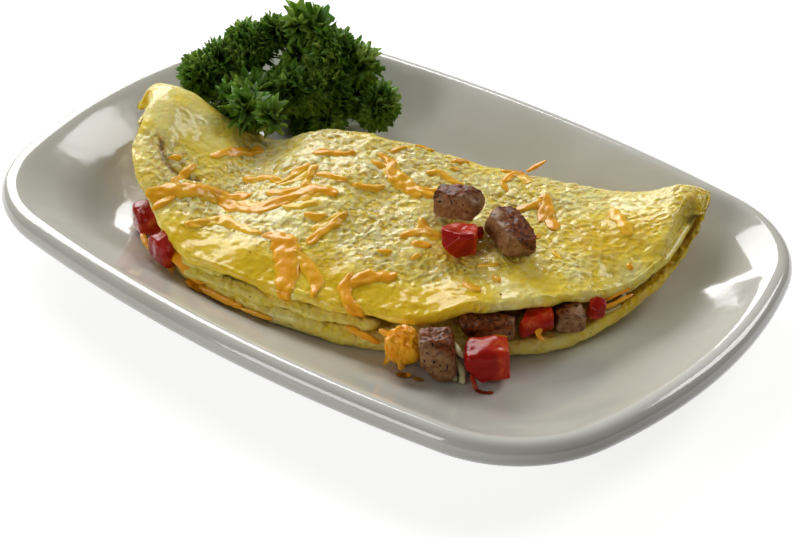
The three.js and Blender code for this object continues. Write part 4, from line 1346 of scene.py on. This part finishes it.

# %% [markdown]
# ## The parsley
# Curly parsley is a few branching stems whose leaves end in tight frilly heads. A head is many small
# fan-shaped leaflets, each cut into fingers that curl up and down in turn. Modelling every leaf by
# hand is hopeless and a displaced ball looks like moss, so one leaflet is made in three variants and
# Geometry Nodes plants thousands of them, facing outwards, over small cores where the heads sit.
# The cores are coloured near black, as painted shade in the heart of each head.
# A leaflet is repeated so often that it has only a few dozen faces.

# %% One leaflet
VARIANTS = 3
FINGERS, FAN_HALF_ANGLE = 5, 72
PALM_SHARE = 0.42
LEAFLET_LENGTH, LEAFLET_THICKNESS = 7.4, 0.3


def leaflet(variant):
    """A small fan with curled fingers, thickest near its stalk."""
    random = np.random.default_rng(70 + variant)
    columns = 3 * FINGERS + 1
    fan = np.radians(np.linspace(-FAN_HALF_ANGLE, FAN_HALF_ANGLE, columns))
    angle = fan + random.uniform(-0.05, 0.05, columns)
    tip = np.arange(columns) % 3 > 0
    margin = np.where(tip, random.uniform(0.84, 1.08, columns), random.uniform(0.58, 0.74, columns))
    in_turn = np.where(np.arange(columns) // 3 % 2 == 1, 1.0, -0.7)
    curl = np.where(tip, in_turn, 0.15) + random.uniform(-0.25, 0.25, columns)
    points, reach = [(0, 0, 0)], [0.0]
    palm = np.full(columns, LEAFLET_LENGTH * PALM_SHARE * 0.8)
    for share, radius in ((PALM_SHARE, palm), (1.0, LEAFLET_LENGTH * margin)):
        lift = 1.1 * share**2 + 1.25 * curl * share**2
        points += list(zip(radius * np.sin(angle), lift, radius * np.cos(angle)))
        reach += [share] * columns
    top = len(points)
    points += [(x, y - LEAFLET_THICKNESS, z) for x, y, z in points[1 : columns + 1]]
    # the underside gets a low reach, which the leaf colour turns towards painted shade
    reach += [0.3] * columns
    faces = []
    for k in range(1, columns):
        low, high, under = k, columns + k, top + k - 1
        faces += [(0, low, low + 1), (low, high, high + 1, low + 1)]
        faces += [(0, under + 1, under), (under, under + 1, high + 1, high)]
    faces += [(0, top, columns + 1, 1), (0, columns, 2 * columns, top + columns - 1)]
    return tidy(mesh_piece(f"leaflet_{variant}", points, faces, {"reach": reach}))


LEAFLETS = [leaflet(k) for k in range(VARIANTS)]
print("a leaflet has", len(LEAFLETS[0].data.polygons), "faces")

# %% [markdown]
# The bunch is a ring of heads round an open middle, higher at the back and at the left, with more
# heads low down that close it towards the plate. Each head has a core, which is what the leaflets
# are planted on, and carries the size of its leaflets so that the outer sprigs can be larger.

# %% Heads of the bunch
# middle of each frilly head (mm), the radius of its core and how large its leaflets are
HEADS = [
    ((-84, 50, 48.5), 1.7, 1.3), ((-80, 54, 46.5), 1.4, 1.25), ((-93, 43, 45), 2.6, 0.9),
    ((-98, 35, 41), 4.2, 1.0), ((-104, 25, 36), 3.2, 1.0), ((-107, 18, 31), 4.2, 1.0),
    ((-95, 22, 27), 3.0, 1.0), ((-89, 24, 23), 3.6, 1.0), ((-84, 20, 31), 1.6, 1.45),
    ((-87, 10, 31), 1.8, 1.0), ((-75, 8, 33), 1.3, 1.35), ((-65, 11, 32), 1.2, 1.1),
    ((-76, 33, 31), 4.4, 1.0), ((-72, 40, 29), 4.4, 1.0), ((-82, 46, 37), 2.0, 1.1),
    ((-69, 48, 30), 3.6, 1.0), ((-76, 55, 42), 1.6, 1.2), ((-69, 58, 39), 1.8, 1.25),
    ((-64, 60, 34), 2.4, 1.2), ((-64, 49, 24), 3.0, 1.0), ((-53, 58, 21), 3.8, 1.0),
    ((-64, 43, 17), 2.6, 0.9), ((-90, 50, 17), 4.2, 1.0), ((-80, 60, 15), 3.6, 1.0),
    ((-99, 28, 12), 3.4, 1.0), ((-75, 47, 10), 3.6, 1.0), ((-90, 58, 10), 3.2, 1.0),
    ((-72, 52, 37), 2.2, 1.2),
]


def head_cores():
    """One mesh of small lumpy balls, one for each head."""
    work = bmesh.new()
    leaf_size = work.verts.layers.float.new("leaf_size")
    for middle, radius, size in HEADS:
        made = bmesh.ops.create_icosphere(work, subdivisions=2, radius=radius * MM)
        for vert in made["verts"]:
            vert.co += Vector(middle) * MM
            vert[leaf_size] = size
    # the cores carry no reach, so the leaf colour paints them near black as painted shade
    mesh = bpy.data.meshes.new("head_cores")
    work.to_mesh(mesh)
    work.free()
    cores = bpy.data.objects.new("parsley_leaves", mesh)
    bpy.context.scene.collection.objects.link(cores)
    return cores


print("heads:", len(HEADS))

# %% [markdown]
# Planting by hand would take days. The nodes spread points over the cores at a fixed density and
# seed, pick one of the leaflets for each point, lean it at random round the outward direction, scale
# it by its head's size and store a random tint on it. Realize Instances then makes real leaves.

# %% Planting the leaflets
def planting_group():
    """Geometry Nodes that plant the leaflets over the cores, facing outwards."""
    group = bpy.data.node_groups.new("planted_leaflets", "GeometryNodeTree")
    group.interface.new_socket("Cores", in_out="INPUT", socket_type="NodeSocketGeometry")
    for k in range(VARIANTS):
        group.interface.new_socket(f"Leaflet {k}", in_out="INPUT", socket_type="NodeSocketObject")
    group.interface.new_socket("Leaflets per square metre", in_out="INPUT", socket_type="NodeSocketFloat")
    group.interface.new_socket("Seed", in_out="INPUT", socket_type="NodeSocketInt")
    group.interface.new_socket("Material", in_out="INPUT", socket_type="NodeSocketMaterial")
    group.interface.new_socket("Leaves", in_out="OUTPUT", socket_type="NodeSocketGeometry")
    given = add_node(group, "NodeGroupInput")
    kinds = add_node(group, "GeometryNodeJoinGeometry")
    for k in reversed(range(VARIANTS)):
        leaflet_in = given.outputs[f"Leaflet {k}"]
        kind = add_node(group, "GeometryNodeObjectInfo", {0: leaflet_in, "As Instance": True})
        group.links.new(kind.outputs["Geometry"], kinds.inputs[0])
    spots = add_node(group, "GeometryNodeDistributePointsOnFaces", {
        0: given.outputs["Cores"], "Density": given.outputs["Leaflets per square metre"],
        "Seed": given.outputs["Seed"]})
    lean = add_node(
        group, "FunctionNodeRandomValue", {0: (-0.75, -0.75, -3.1), 1: (0.75, 0.75, 3.1), "Seed": 5},
        data_type="FLOAT_VECTOR")
    lean = add_node(group, "FunctionNodeEulerToRotation", {0: lean})
    facing = add_node(
        group, "FunctionNodeRotateRotation", {0: spots.outputs["Rotation"], 1: lean},
        rotation_space="LOCAL")
    size = add_node(
        group, "FunctionNodeRandomValue", {"Min": 0.62, "Max": 1.12, "Seed": 6}, data_type="FLOAT")
    head_size = add_node(group, "GeometryNodeInputNamedAttribute", {"Name": "leaf_size"}, data_type="FLOAT")
    size = add_node(group, "ShaderNodeMath", {0: size, 1: head_size}, operation="MULTIPLY")
    choice = add_node(
        group, "FunctionNodeRandomValue", {"Min": 0, "Max": VARIANTS - 1, "Seed": 7}, data_type="INT")
    leaves = add_node(group, "GeometryNodeInstanceOnPoints", {
        0: spots.outputs["Points"], "Instance": kinds, "Pick Instance": True, "Instance Index": choice,
        "Rotation": facing, "Scale": size})
    tint = add_node(group, "FunctionNodeRandomValue", {"Min": 0.0, "Max": 1.0, "Seed": 8}, data_type="FLOAT")
    leaves = add_node(
        group, "GeometryNodeStoreNamedAttribute", {0: leaves, "Name": "tint", "Value": tint},
        data_type="FLOAT", domain="INSTANCE")
    all_parts = add_node(group, "GeometryNodeJoinGeometry")
    group.links.new(leaves.outputs[0], all_parts.inputs[0])
    group.links.new(given.outputs["Cores"], all_parts.inputs[0])
    whole = add_node(group, "GeometryNodeRealizeInstances", {0: all_parts})
    painted = add_node(group, "GeometryNodeSetMaterial", {0: whole, "Material": given.outputs["Material"]})
    add_node(group, "NodeGroupOutput", {0: painted})
    return group


planting = planting_group()
print("planting group has", len(planting.nodes), "nodes")

# %% [markdown]
# A parsley leaf is a thin dark green sheet with a waxy gloss. Light from behind comes through it a
# brighter, yellower green, which makes the tips glow. The heart of each head is almost black by
# painted shade: the colour is near black at each leaflet's stalk, on its underside and on the cores.

# %% Parsley leaf
LEAFLETS_PER_SQUARE_METRE = 600000.0
leaf, tree, shader = new_material(
    "parsley_leaf", Roughness=0.45, IOR=1.42, Specular_IOR_Level=0.35, Coat_Weight=0.2, Coat_Roughness=0.2)
place = add_node(tree, "ShaderNodeTexCoord").outputs["Object"]
reach = add_node(tree, "ShaderNodeAttribute", attribute_name="reach")
tint = add_node(tree, "ShaderNodeAttribute", attribute_name="tint")
patch = add_node(tree, "ShaderNodeTexNoise", {"Vector": place, "Scale": 1 / (14 * MM), "Detail": 1.0})
patch = add_node(tree, "ShaderNodeMapRange", {0: patch, 1: 0.38, 2: 0.66})
tip = add_node(tree, "ShaderNodeMix", {0: tint.outputs["Fac"], 6: "6aa61e", 7: "dcfb6a"}, data_type="RGBA")
tip = add_node(tree, "ShaderNodeMix", {0: patch, 6: tip, 7: "6a9c2a"}, data_type="RGBA")
# painted shade: low reach, at the stalk, on the underside and on the cores, gives near black
colour = add_node(tree, "ShaderNodeMix", {0: reach.outputs["Fac"], 6: "0b1604", 7: tip}, data_type="RGBA")
glow = add_node(tree, "ShaderNodeMix", {0: 0.5, 6: colour, 7: "a8d040"}, data_type="RGBA")
tree.links.new(colour.outputs[2], shader.inputs["Base Color"])
through = add_node(tree, "ShaderNodeBsdfTranslucent", {"Color": glow})
both = add_node(tree, "ShaderNodeMixShader", {0: 0.4, 1: shader.outputs[0], 2: through})
tree.links.new(both.outputs[0], tree.nodes["Material Output"].inputs["Surface"])

leaves = head_cores()
grow(leaves, planting, Leaflet_0=LEAFLETS[0], Leaflet_1=LEAFLETS[1], Leaflet_2=LEAFLETS[2],
     Leaflets_per_square_metre=LEAFLETS_PER_SQUARE_METRE, Seed=4, Material=leaf)
rest_on_plate(leaves)
for made in LEAFLETS:
    bpy.data.objects.remove(made)
finish_piece(leaves, leaf, "parsley", "parsley")

# %% [markdown]
# One thick stem lies on the plate and rises to a fork, from which a thin stem runs to each head. A
# real stem is ribbed and juicy, so the green varies along it and a little light goes in. The stems
# are the same swept strips as the loose cheese, only round.

# %% Parsley stems
stem_green, tree, shader = new_material(
    "parsley_stem", Roughness=0.4, IOR=1.42, Subsurface_Weight=0.2, Subsurface_Scale=0.001)
place = add_node(tree, "ShaderNodeTexCoord").outputs["Object"]
rib = add_node(tree, "ShaderNodeTexNoise", {"Vector": place, "Scale": 1 / (2 * MM), "Detail": 2.0})
colour = add_node(tree, "ShaderNodeMix", {0: rib, 6: "47661f", 7: "6c8a38"}, data_type="RGBA")
tree.links.new(colour.outputs[2], shader.inputs["Base Color"])

FORK = (-82, 43, 27)
STEM_SPACING, STEM_TONE = 1.0, 0.5


def stem_paths():
    """A stem from the plate to the fork, and a thinner one from the fork to each head."""
    paths = []
    trunk = path_points([(-58, 64, 9.5), (-70, 55, 15), FORK], STEM_SPACING)
    paths.append((trunk, np.linspace(1.3, 1.1, len(trunk)), STEM_TONE))
    for k, (middle, _, _) in enumerate(HEADS):
        fork, end = np.array(FORK, float), np.array(middle, float)
        bow = (fork + end) / 2 + np.array([0, 0, 1.8]) + (k % 3 - 1) * np.array([1.2, 0.8, 0])
        line = path_points([fork, bow, end], STEM_SPACING)
        paths.append((line, np.linspace(0.85, 0.45, len(line)), STEM_TONE))
    return paths


stems = strips("parsley_stems", stem_paths(), 1.0, stem_green, 0.1)
finish_piece(stems, stem_green, "parsley", "parsley")

# %% [markdown]
# ## The table, the light and the camera
# The plate stands on a plain pale table, as on a white sweep in a studio. The table shines a little
# by itself, so that it stays white without a brighter lamp, and it gives no bounced light to the
# plate, which would take the shade out of its wall.

# %% Table
TABLE_HALF = 6
corners = [(-TABLE_HALF, -TABLE_HALF, 0), (TABLE_HALF, -TABLE_HALF, 0), (TABLE_HALF, TABLE_HALF, 0),
           (-TABLE_HALF, TABLE_HALF, 0)]
floor_mesh = bpy.data.meshes.new("floor")
floor_mesh.from_pydata(corners, [], [(0, 1, 2, 3)])
floor = bpy.data.objects.new("floor", floor_mesh)
bpy.context.scene.collection.objects.link(floor)
table, tree, shader = new_material("pale_table", Roughness=0.8, Emission_Strength=0.8)
place = add_node(tree, "ShaderNodeTexCoord").outputs["Object"]
grain = add_node(tree, "ShaderNodeTexNoise", {"Vector": place, "Scale": 3.0})
white = add_node(tree, "ShaderNodeMix", {0: grain, 6: "ffffff", 7: "fdfdfc"}, data_type="RGBA")
shader.inputs["Base Color"].default_value = linear("b4b4b4")
tree.links.new(white.outputs[2], shader.inputs["Emission Color"])
floor_mesh.materials.append(table)
floor.visible_diffuse = False
print("table", 2 * TABLE_HALF, "m wide")

# %% [markdown]
# The light is a large soft window behind the plate on the left, with a weaker one behind on the right
# and a faint fill from the front, so the wet egg glints on the side away from the viewer and the well
# of the plate lies in half shade. Area lamps give the soft edges, and a dim room fills the rest.

# %% Light
# name, where it hangs (m), size (m), power (W)
LAMPS = [
    ("window_left", (-1.5, 0.9, 0.9), 1.3, 35),
    ("window_back", (0.5, 1.6, 1.4), 0.9, 15.5),
    ("front_fill", (-0.5, -1.45, 0.5), 0.7, 8.5),
]
ROOM_COLOUR, ROOM_STRENGTH = "f7f5f0", 0.16
AIM = Vector((0, 0, 0.03))
for name, where, size, power in LAMPS:
    light = bpy.data.lights.new(name, "AREA")
    light.shape, light.size, light.energy = "SQUARE", size, power
    lamp = bpy.data.objects.new(name, light)
    turn = (AIM - Vector(where)).to_track_quat("-Z", "Y").to_matrix().to_4x4()
    lamp.matrix_world = Matrix.Translation(where) @ turn
    bpy.context.scene.collection.objects.link(lamp)

world = bpy.data.worlds.new("soft_room")
world.use_nodes = True
room = world.node_tree.nodes["Background"]
room.inputs["Color"].default_value = linear(ROOM_COLOUR)
room.inputs["Strength"].default_value = ROOM_STRENGTH
bpy.context.scene.world = world
bpy.context.scene.view_settings.view_transform = "Standard"
print("lamps:", len(LAMPS))

# %% [markdown]
# The camera stands about 75 cm away with a long lens and looks down over the right front corner, as
# a person at the table would lean in. It is set from the directions in which it looks and in which
# its frame runs to the right, which keeps its slight roll.

# %% Camera
SENSOR_WIDTH, FOCAL_LENGTH = 36.0, 93.04
CAMERA_PLACE = (0.38269, -0.48229, 0.41675)
RIGHT = Vector((0.77977, 0.62585, 0.01646))
FORWARD = Vector((-0.51045, 0.65076, -0.56210))
lens = bpy.data.cameras.new("camera")
lens.sensor_width, lens.lens = SENSOR_WIDTH, FOCAL_LENGTH
camera = bpy.data.objects.new("camera", lens)
forward = FORWARD.normalized()
right = (RIGHT - forward * RIGHT.dot(forward)).normalized()
up = right.cross(forward)
axes = Matrix((right, up, -forward)).transposed().to_4x4()
camera.matrix_world = Matrix.Translation(CAMERA_PLACE) @ axes
bpy.context.scene.collection.objects.link(camera)
bpy.context.scene.camera = camera
print("camera", [round(math.degrees(a), 1) for a in camera.matrix_world.to_euler()])

# %% [markdown]
# Last, the number of finished pieces is printed.

# %% Pieces
print(len(PIECES), "pieces")
